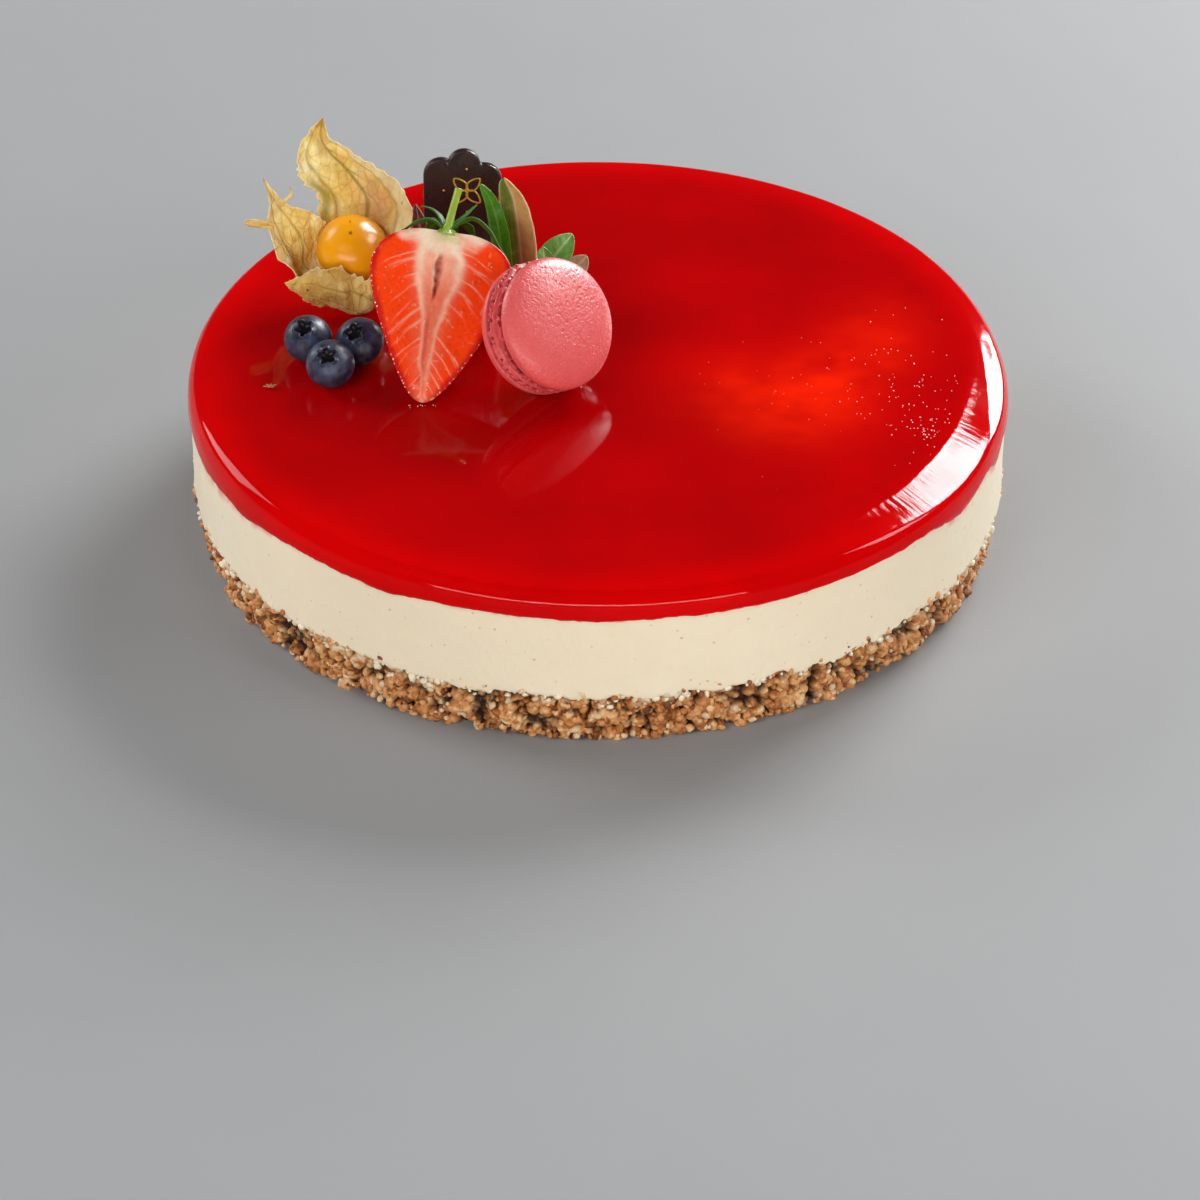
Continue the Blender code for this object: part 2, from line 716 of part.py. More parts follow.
def plaque_outline():
    """The plaque's outline in mm: a straight foot and sides, and three scallops along the top."""
    half, tall = PLAQUE_WIDTH / 2, PLAQUE_HEIGHT
    scallops = (
        # Centre across, centre height, radius, first and last degrees
        (half - 4.9, tall - 9.0, 4.9, -35, 98),
        (0.4, tall - 4.6, 4.6, 12, 165),
        (5.0 - half, tall - 7.6, 5.0, 70, 180),
    )
    points = [(-half, 0), (half - 1.2, 0)]
    for across, height, radius, first, last in scallops:
        for i in range(7):
            turn = radians(first + (last - first) * i / 6)
            points.append((across + radius * cos(turn), height + radius * sin(turn)))
    return points


def chocolate_plaque(collection):
    """A thin dark chocolate plaque, standing on its foot behind the strawberry."""
    flat = bpy.data.curves.new("plaque", "CURVE")
    flat.dimensions = "2D"
    flat.fill_mode = "BOTH"
    flat.extrude = PLAQUE_THICKNESS / 2
    outline = plaque_outline()
    line = flat.splines.new("POLY")
    line.points.add(len(outline) - 1)
    line.use_cyclic_u = True
    for point, (across, height) in zip(line.points, outline):
        point.co = (across * MM, height * MM, 0, 1)
    made = add_object("chocolate_plaque", mesh_of_curve(flat, collection), "chocolate", collection)
    x, y = PLAQUE_PLACE
    made.rotation_euler = (pi / 2 - PLAQUE_LEAN, 0, 0)
    made.location = (x * MM, y * MM, 0)
    rest_on_glaze(made)


LEAVES = {
    "leaf_tall": {
        "colour": "leaf_green",
        "spine": ((-25.6, 21, 0.6), (-26.2, 21.5, 14), (-27.2, 22, 27), (-29.2, 23, 36.5), (-32.4, 23, 43)),
        "side": (0.9, 0.4, 0),
        "half_width": 2.7,
        "fold": 0.30,
        "foot": 0.8,
        "point": 0.7,
    },
    "leaf_strap": {
        "colour": "leaf_brown",
        "spine": ((-20.6, 27.5, 0.6), (-21.2, 28, 15), (-22, 28, 26), (-23.4, 27.5, 36), (-26, 26.5, 43)),
        "side": (1, -0.2, 0),
        "half_width": 4.9,
        "fold": 0.45,
        "foot": 0.85,
        "belly": 0.4,
        "point": 0.55,
    },
    "leaf_small": {
        "colour": "leaf_green",
        "spine": ((-18.5, 33.5, 0.6), (-15.6, 35.6, 6.5), (-11.5, 39.5, 11.2), (-7.4, 45, 13.8)),
        "side": (0.75, -0.4, -0.55),
        "half_width": 4.4,
        "fold": 0.2,
        "foot": 0.4,
        "belly": 0.6,
    },
    "leaf_low": {
        "colour": "leaf_green",
        "spine": ((-13, 30, 0.6), (-14, 32, 6), (-15, 34.3, 11), (-15.6, 37, 14.6)),
        "side": (0.85, 0.1, -0.5),
        "half_width": 3.6,
        "fold": 0.2,
        "foot": 0.5,
        "belly": 0.6,
    },
    "leaf_brown": {
        "colour": "leaf_brown",
        "spine": ((-12, 36, 1.0), (-9, 39.5, 3.0), (-6, 42.5, 5.0), (-3.4, 45.5, 6.6)),
        "side": (0.7, -0.5, -0.4),
        "half_width": 3.3,
        "fold": 0.2,
        "foot": 0.5,
        "belly": 0.6,
    },
    "leaf_dark": {
        "colour": "leaf_dark",
        "spine": ((-48, 27, 0.6), (-48.5, 28, 12), (-49, 29, 23), (-50.4, 30, 32.5)),
        "side": (1, 0.1, 0),
        "half_width": 2.6,
        "fold": 0.35,
        "belly": 0.6,
    },
}


def leaves(collection):
    """Thin wavy leaves tucked in round the fruit, standing on the glaze."""
    for name, blade in LEAVES.items():
        made = add_object(name, blade_mesh(name, blade, 10, 4), blade["colour"], collection)
        thicken(made, LEAF_THICKNESS)
        apply_modifiers(made)
        rest_on_glaze(made)


def main():
    clear_scene()
    collection = new_collection("glazed_cheesecake")
    crumb_base(collection)
    cream_layer(collection)
    glaze_top(collection)
    blueberries(collection)
    physalis(collection)
    strawberry_calyx(collection, strawberry_half(collection))
    macaron(collection)
    chocolate_plaque(collection)
    leaves(collection)


main()
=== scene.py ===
import math
from math import cos, pi, radians, sin

import bpy
import numpy as np
from mathutils import Matrix, Vector


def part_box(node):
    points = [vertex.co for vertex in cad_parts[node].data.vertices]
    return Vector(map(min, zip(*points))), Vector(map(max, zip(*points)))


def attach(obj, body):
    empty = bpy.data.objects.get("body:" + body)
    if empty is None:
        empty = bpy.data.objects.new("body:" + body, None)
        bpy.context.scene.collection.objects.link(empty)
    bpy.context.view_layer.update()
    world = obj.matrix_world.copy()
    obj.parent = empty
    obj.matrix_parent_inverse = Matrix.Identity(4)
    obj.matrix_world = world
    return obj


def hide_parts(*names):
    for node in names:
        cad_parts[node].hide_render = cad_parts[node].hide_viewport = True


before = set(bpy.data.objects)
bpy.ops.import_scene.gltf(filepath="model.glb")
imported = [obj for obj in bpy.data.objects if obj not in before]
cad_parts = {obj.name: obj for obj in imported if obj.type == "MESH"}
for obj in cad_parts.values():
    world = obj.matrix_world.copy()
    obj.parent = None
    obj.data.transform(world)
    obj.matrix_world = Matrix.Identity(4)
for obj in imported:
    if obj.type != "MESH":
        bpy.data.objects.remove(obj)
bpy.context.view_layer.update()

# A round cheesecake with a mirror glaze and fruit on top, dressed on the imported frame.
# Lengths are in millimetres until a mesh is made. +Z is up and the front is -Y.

MM = 0.001
RANDOM = np.random.default_rng(20)

# The cake, as in the part
CAKE_RADIUS = 112.5
CAKE_HEIGHT = 49.0
GAP = 0.3
GLAZE_EDGE = 4.0
GLAZE_DROP = 6.4
GLAZE_LIP = 8.3
GLAZE_SKIN = 0.5
GLAZE_THICKNESS = 3.0
CREAM_RADIUS = CAKE_RADIUS - GLAZE_SKIN - GAP
CREAM_TOP = CAKE_HEIGHT - GLAZE_THICKNESS - GAP
CRUMB_TOP_RADIUS = 109.8
CRUMB_FOOT_RADIUS = 107.2
SEAM_HEIGHT = 15.9
# Facets of the right rim: degrees round the cake, half width in degrees, radius where each starts, slope
RIM_FACETS = ((-8.5, 30, 102.9, 0.545), (-26.5, 34, 99.8, 0.362))
FACET_FILLET = 1.7
# Where the glaze has run further down: degrees round the cake, half width in degrees, extra drop
RUNS = (
    (-30, 6.5, 3.2),
    (-16, 3, 3.6),
    (-4, 5, 1.6),
    (-160, 11, 2.4),
    (-147, 3.5, 1.6),
    (-120, 4, 0.9),
    (70, 7, 2.0),
    (112, 5, 1.4),
)


# Points and noise

def lattice(i, j, k, seed):
    """A repeatable number from -1 to 1 for each lattice point."""
    mixed = (i * 73856093) ^ (j * 19349663) ^ (k * 83492791) ^ (seed * 2654435)
    mixed = (mixed ^ (mixed >> 13)) * 1274126177
    return ((mixed ^ (mixed >> 16)) & 0xFFFF) / 32767.5 - 1


def noise(points, size, seed=0):
    """Smooth noise from -1 to 1, with features of about this size, at an array of points."""
    places = np.asarray(points, float) / size
    cell = np.floor(places).astype(np.int64)
    part = places - cell
    part = part * part * (3 - 2 * part)
    total = 0
    for corner in range(8):
        a, b, c = corner & 1, corner >> 1 & 1, corner >> 2
        weight = 1.0
        for axis, side in enumerate((a, b, c)):
            weight = weight * (part[..., axis] if side else 1 - part[..., axis])
        total = total + weight * lattice(cell[..., 0] + a, cell[..., 1] + b, cell[..., 2] + c, seed)
    return total


def layered(points, size, seed=0, layers=3):
    """Noise with finer and weaker noise added to it."""
    return sum(noise(points, size / 2**i, seed + i) / 2**i for i in range(layers))


def step(low, high, values):
    """0 below low, 1 above high, and smooth between."""
    share = np.clip((values - low) / (high - low), 0, 1)
    return share * share * (3 - 2 * share)


def bell(distance, width):
    """1 at no distance, fading to 0 on both sides over about twice the width."""
    return np.exp(-((distance / width) ** 2))


def stack(x, y, z):
    return np.stack(np.broadcast_arrays(x, y, z), axis=-1).astype(float)


def round_points(radius, height, turns):
    """Points on a circle round the Z axis, at these turns in radians."""
    return stack(radius * np.cos(turns), radius * np.sin(turns), height)


def turned(rows, turns):
    """A grid (rows, columns, 3) of rings, from the radius and height of each."""
    return np.array([round_points(radius, height, turns) for radius, height in rows])


def full_turn(columns):
    return np.linspace(0, 2 * pi, columns, endpoint=False)


def curve_point(points, share):
    """The point of a smooth curve through the points, at this share of its way."""
    place = share * (len(points) - 1)
    i = min(int(place), len(points) - 2)
    t = place - i
    a, b, c, d = (Vector(points[min(max(k, 0), len(points) - 1)]) for k in (i - 1, i, i + 1, i + 2))
    return 0.5 * (2 * b + (c - a) * t + (2 * a - 5 * b + 4 * c - d) * t**2 + (3 * b - a - 3 * c + d) * t**3)


def facing(way):
    """The rotation that turns +Z to this way, keeping +X level."""
    axis = Vector(way).normalized()
    level = Vector((0, 0, 1)).cross(axis).normalized()
    return Matrix((level, axis.cross(level), axis)).transposed()


def moved(points, turn=None, place=(0, 0, 0)):
    """The points turned by a 3 x 3 matrix and then moved to the place."""
    points = np.asarray(points, float)
    if turn is not None:
        points = points @ np.array(turn).T
    return points + np.array(place, float)


def grid_normals(grid):
    """The way out of a grid (rows, columns, 3) at each of its points."""
    normal = np.cross(np.gradient(grid, axis=0), np.gradient(grid, axis=1))
    return normal / np.maximum(np.linalg.norm(normal, axis=-1, keepdims=True), 1e-9)


def lift_to_glaze(*grids):
    """How far these points have to rise for the lowest to be just over the glaze."""
    return CAKE_HEIGHT + GAP - min(grid[..., 2].min() for grid in grids)


# Meshes

# A grid whose first and last rows each shrink to one point
POLES = {"first_pole": True, "last_pole": True}


def mesh_piece(name, points, faces, material, slot, values=None):
    """A piece from points in mm and faces, with a value for each point in named attributes."""
    mesh = bpy.data.meshes.new(name)
    mesh.from_pydata((np.asarray(points) * MM).tolist(), [], faces)
    for key, numbers in (values or {}).items():
        numbers = np.asarray(numbers, float)
        if numbers.ndim == 1:
            mesh.attributes.new(key, "FLOAT", "POINT").data.foreach_set("value", numbers)
        else:
            mesh.attributes.new(key, "FLOAT_VECTOR", "POINT").data.foreach_set("vector", numbers.ravel())
    mesh.shade_smooth()
    mesh.materials.append(material)
    made = bpy.data.objects.new(name, mesh)
    bpy.context.scene.collection.objects.link(made)
    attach(made, "root")
    return made


def grid_parts(grid, wrap=True, first_pole=False, last_pole=False):
    """The points and faces of a grid (rows, columns, 3). A pole row shrinks to one point."""
    rows, columns = grid.shape[:2]
    keep = np.ones((rows, columns), bool)
    if first_pole:
        keep[0, 1:] = False
    if last_pole:
        keep[-1, 1:] = False
    index = (np.cumsum(keep.ravel()) - 1).reshape(rows, columns)
    if first_pole:
        index[0] = index[0, 0]
    if last_pole:
        index[-1] = index[-1, 0]
    after = np.roll(index, -1, axis=1)
    last = columns if wrap else columns - 1
    quads = np.stack([index[:-1], index[1:], after[1:], after[:-1]], axis=-1)[:, :last]
    faces = []
    for i, row in enumerate(quads):
        if first_pole and i == 0:
            faces += row[:, [0, 1, 2]].tolist()
        elif last_pole and i == rows - 2:
            faces += row[:, [0, 1, 3]].tolist()
        else:
            faces += row.tolist()
    return grid[keep], faces, keep


def grid_piece(name, grid, material, slot, values=None, **ends):
    """A piece from a grid that wraps round, with values for its points."""
    points, faces, keep = grid_parts(grid, **ends)
    values = {key: np.broadcast_to(v, keep.shape + v.shape[2:])[keep] for key, v in (values or {}).items()}
    return mesh_piece(name, points, faces, material, slot, values)


def sheet_parts(grid, thickness):
    """The points and faces of a thin closed sheet round an open grid, with its far face's points last."""
    normal = grid_normals(grid)
    rows, columns = grid.shape[:2]
    near = (grid + normal * thickness / 2).reshape(-1, 3)
    far = (grid - normal * thickness / 2).reshape(-1, 3)
    index = np.arange(rows * columns).reshape(rows, columns)
    quads = np.stack([index[:-1, :-1], index[1:, :-1], index[1:, 1:], index[:-1, 1:]], axis=-1)
    quads = quads.reshape(-1, 4)
    rim = [*index[0], *index[1:, -1], *index[-1, -2::-1], *index[-2:0:-1, 0]]
    count = rows * columns
    faces = quads.tolist() + (quads[:, ::-1] + count).tolist()
    faces += [(a, b, b + count, a + count) for a, b in zip(rim, rim[1:] + rim[:1])]
    return np.concatenate([near, far]), faces


def gather(parts):
    """Joins several (points, faces) lists to one."""
    points, faces, start = [], [], 0
    for part_points, part_faces in parts:
        points.append(np.asarray(part_points))
        faces += [[i + start for i in face] for face in part_faces]
        start += len(part_points)
    return np.concatenate(points), faces


def ball(rows=6, columns=8):
    """The points and faces of a small unit ball."""
    turns = full_turn(columns)
    tilt = np.linspace(0, pi, rows + 1)[:, None]
    return grid_parts(round_points(np.sin(tilt), np.cos(tilt), turns), **POLES)[:2]


def any_turn():
    """A random rotation."""
    way = Vector(RANDOM.normal(size=3)).normalized()
    return Matrix.Rotation(RANDOM.uniform(0, 2 * pi), 3, way)


def grains(places, sizes, roughness, rows=6, columns=8):
    """Small irregular lumps at these places, as one set of points and faces."""
    shape, faces = ball(rows, columns)
    parts = []
    for place, size in zip(places, sizes):
        stretch = RANDOM.uniform(0.7, 1.3, 3)
        bumps = 1 + roughness * noise(shape + RANDOM.uniform(0, 99), 0.9)[:, None]
        parts.append((moved(shape * bumps * stretch * size, any_turn(), place), faces))
    return gather(parts)


# Materials

class Look:
    """A Principled material, with short ways to add nodes to it."""

    def __init__(self, name, roughness, **sockets):
        self.material = bpy.data.materials.new(name)
        self.material.use_nodes = True
        self.tree = self.material.node_tree
        self.shader = self.tree.nodes["Principled BSDF"]
        self.feed("Roughness", roughness)
        for key, value in sockets.items():
            self.feed(key.replace("_", " "), value)

    def feed(self, socket, value):
        if isinstance(socket, str):
            socket = self.shader.inputs[socket]
        if isinstance(value, bpy.types.NodeSocket):
            self.tree.links.new(value, socket)
        else:
            socket.default_value = value

    def node(self, kind, inputs, output=0, **settings):
        made = self.tree.nodes.new(kind)
        for key, value in settings.items():
            setattr(made, key, value)
        for key, value in inputs.items():
            self.feed(made.inputs[key], value)
        return made.outputs[output]

    def place(self, stretch=(1, 1, 1)):
        """The place in the object in mm, stretched along its axes."""
        where = self.node("ShaderNodeTexCoord", {}, "Object")
        scale = tuple(1 / MM * s for s in stretch)
        return self.node("ShaderNodeMapping", {"Vector": where, "Scale": scale})

    def noise(self, size, detail=3, where=None, roughness=0.55):
        where = where or self.place()
        inputs = {"Vector": where, "Scale": 1 / size, "Detail": detail, "Roughness": roughness}
        return self.node("ShaderNodeTexNoise", inputs)

    def cells(self, size, where=None):
        """The distance to the nearest of random points, about this size apart."""
        return self.node("ShaderNodeTexVoronoi", {"Vector": where or self.place(), "Scale": 1 / size})

    def value(self, name):
        """A number that the mesh has at each point."""
        return self.node("ShaderNodeAttribute", {}, "Fac", attribute_name=name)

    def colours(self, name):
        """A colour that the mesh has at each point."""
        return self.node("ShaderNodeAttribute", {}, "Color", attribute_name=name)

    def math(self, kind, a, b=0.0):
        return self.node("ShaderNodeMath", {0: a, 1: b}, operation=kind)

    def span(self, value, low, high, first=0.0, last=1.0):
        """The value's way from low to high, as a number from first to last."""
        inputs = {"Value": value, "From Min": low, "From Max": high, "To Min": first, "To Max": last}
        return self.node("ShaderNodeMapRange", inputs)

    def mix(self, share, first, last, blend="MIX"):
        made = self.tree.nodes.new("ShaderNodeMix")
        made.data_type = "RGBA"
        made.blend_type = blend
        for socket, value in zip((made.inputs[0], made.inputs[6], made.inputs[7]), (share, first, last)):
            self.feed(socket, (*value, 1) if isinstance(value, tuple) else value)
        return made.outputs[2]

    def ramp(self, value, *stops):
        made = self.tree.nodes.new("ShaderNodeValToRGB")
        self.feed(made.inputs[0], value)
        stones = made.color_ramp.elements
        while len(stones) < len(stops):
            stones.new(0.5)
        for stone, (place, colour) in zip(stones, stops):
            stone.position = place
            stone.color = (*colour, 1)
        return made.outputs[0]

    def paint(self, size, detail, first, second, where=None):
        """The base colour, mixed from two by noise of about this size."""
        self.feed("Base Color", self.mix(self.noise(size, detail, where), first, second))

    def sheen(self, size, detail, least, most):
        """The roughness, from least to most, by noise of about this size."""
        self.feed("Roughness", self.span(self.noise(size, detail), 0.3, 0.7, least, most))

    def specks(self, apart, small, large, share):
        """1 in small specks about this far apart, weakened by a share."""
        return self.math("MULTIPLY", self.span(self.cells(apart), small, large, 1, 0), share)

    def bump(self, *heights):
        """Relief from (height, depth in mm) pairs."""
        normal = None
        for height, depth in heights:
            inputs = {"Height": height, "Distance": depth * MM, "Strength": 1.0}
            if normal:
                inputs["Normal"] = normal
            normal = self.node("ShaderNodeBump", inputs)
        self.feed("Normal", normal)


# Camera, light and floor

def camera():
    """The photograph's view: a long lens 1.67 m off, looking down on the front of the cake."""
    distance = 1.6718
    elevation = radians(33.732)
    aside, down, roll = radians(0.0247), radians(-0.8415), radians(0.2119)
    place = Vector((0, -cos(elevation), sin(elevation))) * distance
    ahead = -place.normalized()
    right = Vector((1, 0, 0))
    ahead = (ahead + right * math.tan(aside) + right.cross(ahead) * math.tan(down)).normalized()
    right = ahead.cross(Vector((0, 0, 1))).normalized()
    up = right.cross(ahead)
    right, up = right * cos(roll) + up * sin(roll), up * cos(roll) - right * sin(roll)
    lens = bpy.data.cameras.new("camera")
    lens.lens = 180
    lens.sensor_width = 36
    lens.clip_start = 0.05
    made = bpy.data.objects.new("camera", lens)
    made.matrix_world = Matrix.Translation(place) @ Matrix((right, up, -ahead)).transposed().to_4x4()
    bpy.context.scene.collection.objects.link(made)
    bpy.context.scene.camera = made


def softbox(name, turn, height, distance, width, tall, radiance, colour=(1, 1, 1), glossy=True, diffuse=True):
    """A soft light in degrees clockwise from the back and over the floor, turned to the cake."""
    lamp = bpy.data.lights.new(name, "AREA")
    lamp.shape = "RECTANGLE"
    lamp.size = width
    lamp.size_y = tall
    lamp.energy = radiance * pi * width * tall
    lamp.color = colour
    way = Vector((sin(radians(turn)) * cos(radians(height)), cos(radians(turn)) * cos(radians(height)),
                  sin(radians(height))))
    made = bpy.data.objects.new(name, lamp)
    made.location = way * distance + Vector((0, 0, CAKE_HEIGHT * MM))
    made.rotation_euler = way.to_track_quat("Z", "Y").to_euler()
    made.visible_camera = False
    made.visible_glossy = glossy
    made.visible_diffuse = diffuse
    bpy.context.scene.collection.objects.link(made)


def studio():
    """The soft lights, a faint sky and a plain grey floor. Metres and degrees here."""
    softbox("key_window", 37, 28, 1.7, 0.95, 0.85, 12.0, glossy=False)
    softbox("key_low_pane", 38, 20.5, 1.7, 0.60, 0.34, 56.0, diffuse=False)
    softbox("key_high_pane", 38, 40, 1.7, 0.60, 0.36, 56.0, diffuse=False)
    softbox("left_window", -62, 24, 1.7, 0.7, 0.8, 9.0)
    softbox("front_fill", -142, 36, 1.8, 1.1, 0.8, 4.6, glossy=False)
    softbox("right_fill", 114, 22, 1.8, 1.0, 0.7, 6.0, glossy=False)
    softbox("right_pane", 84, 37, 1.8, 0.55, 0.5, 20.0, diffuse=False)
    # The light that comes back from a table in front
    softbox("low_front", 182, 9, 1.8, 3.0, 0.40, 4.4, (1, 0.92, 0.80), glossy=False)
    softbox("table_line", 182, 7, 1.8, 3.0, 0.10, 24.0, (1, 0.95, 0.9), diffuse=False)
    world = bpy.data.worlds.new("studio")
    world.use_nodes = True
    world.node_tree.nodes["Background"].inputs["Color"].default_value = (0.9, 0.95, 1, 1)
    world.node_tree.nodes["Background"].inputs["Strength"].default_value = 0.05
    bpy.context.scene.world = world
    bpy.context.scene.view_settings.view_transform = "Standard"
    look = Look("floor", 0.75)
    look.paint(60, 2, (0.290, 0.296, 0.304), (0.309, 0.315, 0.323))
    mesh = bpy.data.meshes.new("floor")
    half = 6.0
    corners = [(-half, -half, 0), (half, -half, 0), (half, half, 0), (-half, half, 0)]
    mesh.from_pydata(corners, [], [(0, 1, 2, 3)])
    mesh.materials.append(look.material)
    floor = bpy.data.objects.new("floor", mesh)
    bpy.context.scene.collection.objects.link(floor)


# The glaze

# Where its top starts to fall away to the rim
FLAT_RADIUS = 94
# Painted amber light, where the glaze seems to shine from within: x, y, width and strength
PAINTED_GLOWS = (
    (57, -19, 15, 0.8),
    (77, 15, 13, 0.55),
    (67, -3, 12, 0.45),
    (36, -14, 14, 0.4),
    (44, -28, 12, 0.3),
)


def near_turn(turns, centre, width):
    """1 at this turn in degrees, fading to 0 over the width."""
    return bell((np.degrees(turns) - centre + 180) % 360 - 180, width)


def lip_drop(turns):
    """How far the glaze has run past its usual lip, at these turns round the cake."""
    places = round_points(CAKE_RADIUS, 0, turns)
    drop = 0.35 * noise(places, 9, 3) + 0.28 * noise(places, 3, 4) + 0.12 * noise(places, 1.2, 5)
    for centre, half_width, extra in RUNS:
        drop = drop + extra * near_turn(turns, centre, half_width)
    return drop


def rim_fall(radius, turns):
    """How far the top sags at the right rim, where the glaze has run off it in two broad facets."""
    ring = round_points(CAKE_RADIUS, 0, turns)
    uneven = 1 + 0.014 * noise(ring, 8, 12) + 0.006 * noise(ring, 3.1, 10) + 0.003 * noise(ring, 1.1, 9)
    falls = []
    for turn, half_width, start, slope in RIM_FACETS:
        over = np.clip(radius - start, 0, None)
        eased = over - FACET_FILLET * (1 - np.exp(-over / FACET_FILLET))
        falls.append(slope * near_turn(turns, turn, half_width) * eased)
    return uneven * np.maximum(*falls)


def glaze_look():
    look = Look("mirror_glaze", 0.06, IOR=1.46, Specular_IOR_Level=0.115)
    deep, lit, amber = (0.38, 0.0003, 0.0014), (0.70, 0.0004, 0.0008), (0.90, 0.014, 0.0010)
    # The base colour paints light: brighter red near the rim, where light shines through the glaze onto the
    # cream, and in a painted pool of light on the right, with painted shadow between the strawberry and the
    # macaron.
    cloud = look.span(look.noise(38, 3), 0.3, 0.7, -0.18, 0.18)
    share = look.math("ADD", look.value("thin"), cloud)
    look.feed("Base Color", look.mix(look.value("painted_glow"), look.mix(share, deep, lit), amber))
    smear = look.noise(16, 4, look.place((1, 0.6, 1)))
    look.feed("Roughness", look.span(smear, 0.5, 0.75, 0.045, 0.10))
    polar = look.node("ShaderNodeAttribute", {}, "Vector", attribute_name="polar")
    strands = look.noise(1.5, 2, look.node("ShaderNodeMapping", {"Vector": polar, "Scale": (1, 0.07, 1)}))
    comb = look.math("MULTIPLY", strands, look.value("comb"))
    look.bump((look.noise(30, 2), 0.16), (comb, 0.11))
    return look.material


def glaze_grid(turns, right_rim):
    """The glaze's points, from the middle of its top, out and down its lip, and back under it."""
    edge = GLAZE_EDGE - 2.4 * right_rim
    edge_drop = GLAZE_DROP - 3.6 * right_rim

    def fall(radius):
        return rim_fall(radius, turns) + 0.3 * np.clip((radius - 96) / 13, 0, 1) ** 3

    rows = [(radius, CAKE_HEIGHT) for radius in (0, 3, *np.arange(7, FLAT_RADIUS, 3))]
    for share in np.linspace(0, 1, 34):
        radius = FLAT_RADIUS + (CAKE_RADIUS - edge - FLAT_RADIUS) * share
        rows.append((radius, CAKE_HEIGHT - fall(radius)))
    for tilt in np.linspace(85, 0, 16):
        radius = CAKE_RADIUS - edge * (1 - cos(radians(tilt)))
        height = CAKE_HEIGHT - fall(radius) - edge_drop * (1 - sin(radians(tilt)))
        rows.append((radius, height))
    start = CAKE_HEIGHT - fall(CAKE_RADIUS) - edge_drop
    lip = CAKE_HEIGHT - GLAZE_LIP - lip_drop(turns)
    for share in np.linspace(0.1, 1, 12):
        radius = CAKE_RADIUS - 0.32 * share**4 + 0.10 * sin(pi * share)
        rows.append((radius, start + (lip - start) * share))
    inside = CAKE_RADIUS - GLAZE_SKIN
    rows.append((CREAM_RADIUS + 0.06, lip - 0.05))
    rows.append((inside, lip + 0.5))
    rows.append((inside, CAKE_HEIGHT - 5.6 - 0.5 * rim_fall(inside, turns)))
    underside = CAKE_HEIGHT - GLAZE_THICKNESS
    for radius in (CAKE_RADIUS - GLAZE_EDGE + 0.4, 106, 103, 100):
        rows.append((radius, underside - rim_fall(radius, turns)))
    rows.append((0, underside))
    return turned(rows, turns)


def glaze():
    """The glaze: a flat mirror top, a rounded edge and a thin lip that has run down the side."""
    turns = full_turn(2160)
    right_rim = np.maximum(near_turn(turns, -8, 20), near_turn(turns, -28, 20))
    grid = glaze_grid(turns, right_rim)
    x, y = grid[..., 0], grid[..., 1]
    radius = np.hypot(x, y)
    around = np.arctan2(y, x)
    top = step(CAKE_HEIGHT - 7, CAKE_HEIGHT - 3, grid[..., 2]) * step(40, 80, radius)
    comb = right_rim * top * (0.06 * step(100, 103, radius) + bell(radius - 102.8, 2.4))
    ends = near_turn(around, -17.8, 2.4) + near_turn(around, -37, 4) + 0.6 * near_turn(around, 2, 3)
    comb = comb + 0.8 * right_rim * top * step(100.5, 102.5, radius) * ends
    grid[..., 2] += 0.03 * noise(grid, 8, 8) * step(92, 100, radius) * top
    # The amber patches are painted light, not lit by any lamp.
    painted_glow = sum(power * bell(np.hypot(x - px, (y - py) * 0.85), width) for px, py, width, power in PAINTED_GLOWS)
    painted_glow = painted_glow * (0.8 + 0.5 * layered(grid, 9, 11))
    # thin paints light and shade into the colour: brighter towards the rim, where light shines through the
    # glaze onto the cream, a painted pool of light on the right, and painted shadow between the strawberry
    # and the macaron.
    thin = 0.10 + 0.50 * step(96, 111, radius) + 0.12 * step(70, 100, radius)
    thin = thin + 0.50 * bell(np.hypot(x - 54, y + 10), 42)
    thin = thin - 0.25 * bell(np.hypot(x + 40, (y + 14) * 1.4), 24)
    polar = stack(around * CAKE_RADIUS, radius, 0)
    values = {"thin": thin, "painted_glow": np.clip(painted_glow, 0, 1), "polar": polar, "comb": comb}
    made = grid_piece("glaze", grid, glaze_look(), "glaze", values, **POLES)
    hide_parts("glaze_top")


# The cream

CREAM_FILLET = 2.3
SMEARS = 340
# Where glaze has stained the cream further down: degrees round the cake, half width in degrees, extra reach
STAINS = ((-158, 13, 3.0), (-22, 12, 3.4), (-142, 10, 0.8))


def cream_look():
    look = Look("cream_cheese", 0.42, IOR=1.42, Subsurface_Weight=0.15,
                Subsurface_Radius=(1.0, 0.7, 0.4), Subsurface_Scale=2.0 * MM)
    ivory = look.mix(look.noise(14, 3), (0.86, 0.745, 0.555), (0.90, 0.80, 0.63))
    pin = look.specks(3.4, 0.07, 0.13, look.span(look.noise(7, 1), 0.42, 0.55))
    # The pinholes are darkened in the colour: painted shade in them.
    ivory = look.mix(look.math("MULTIPLY", pin, 0.75), ivory, (0.74, 0.52, 0.22))
    look.feed("Base Color", look.mix(look.value("stain"), ivory, (0.72, 0.03, 0.03)))
    look.bump((look.noise(5, 3), 0.25), (look.noise(1.2, 2), 0.05), (look.math("SUBTRACT", 1.0, pin), 0.15))
    return look.material


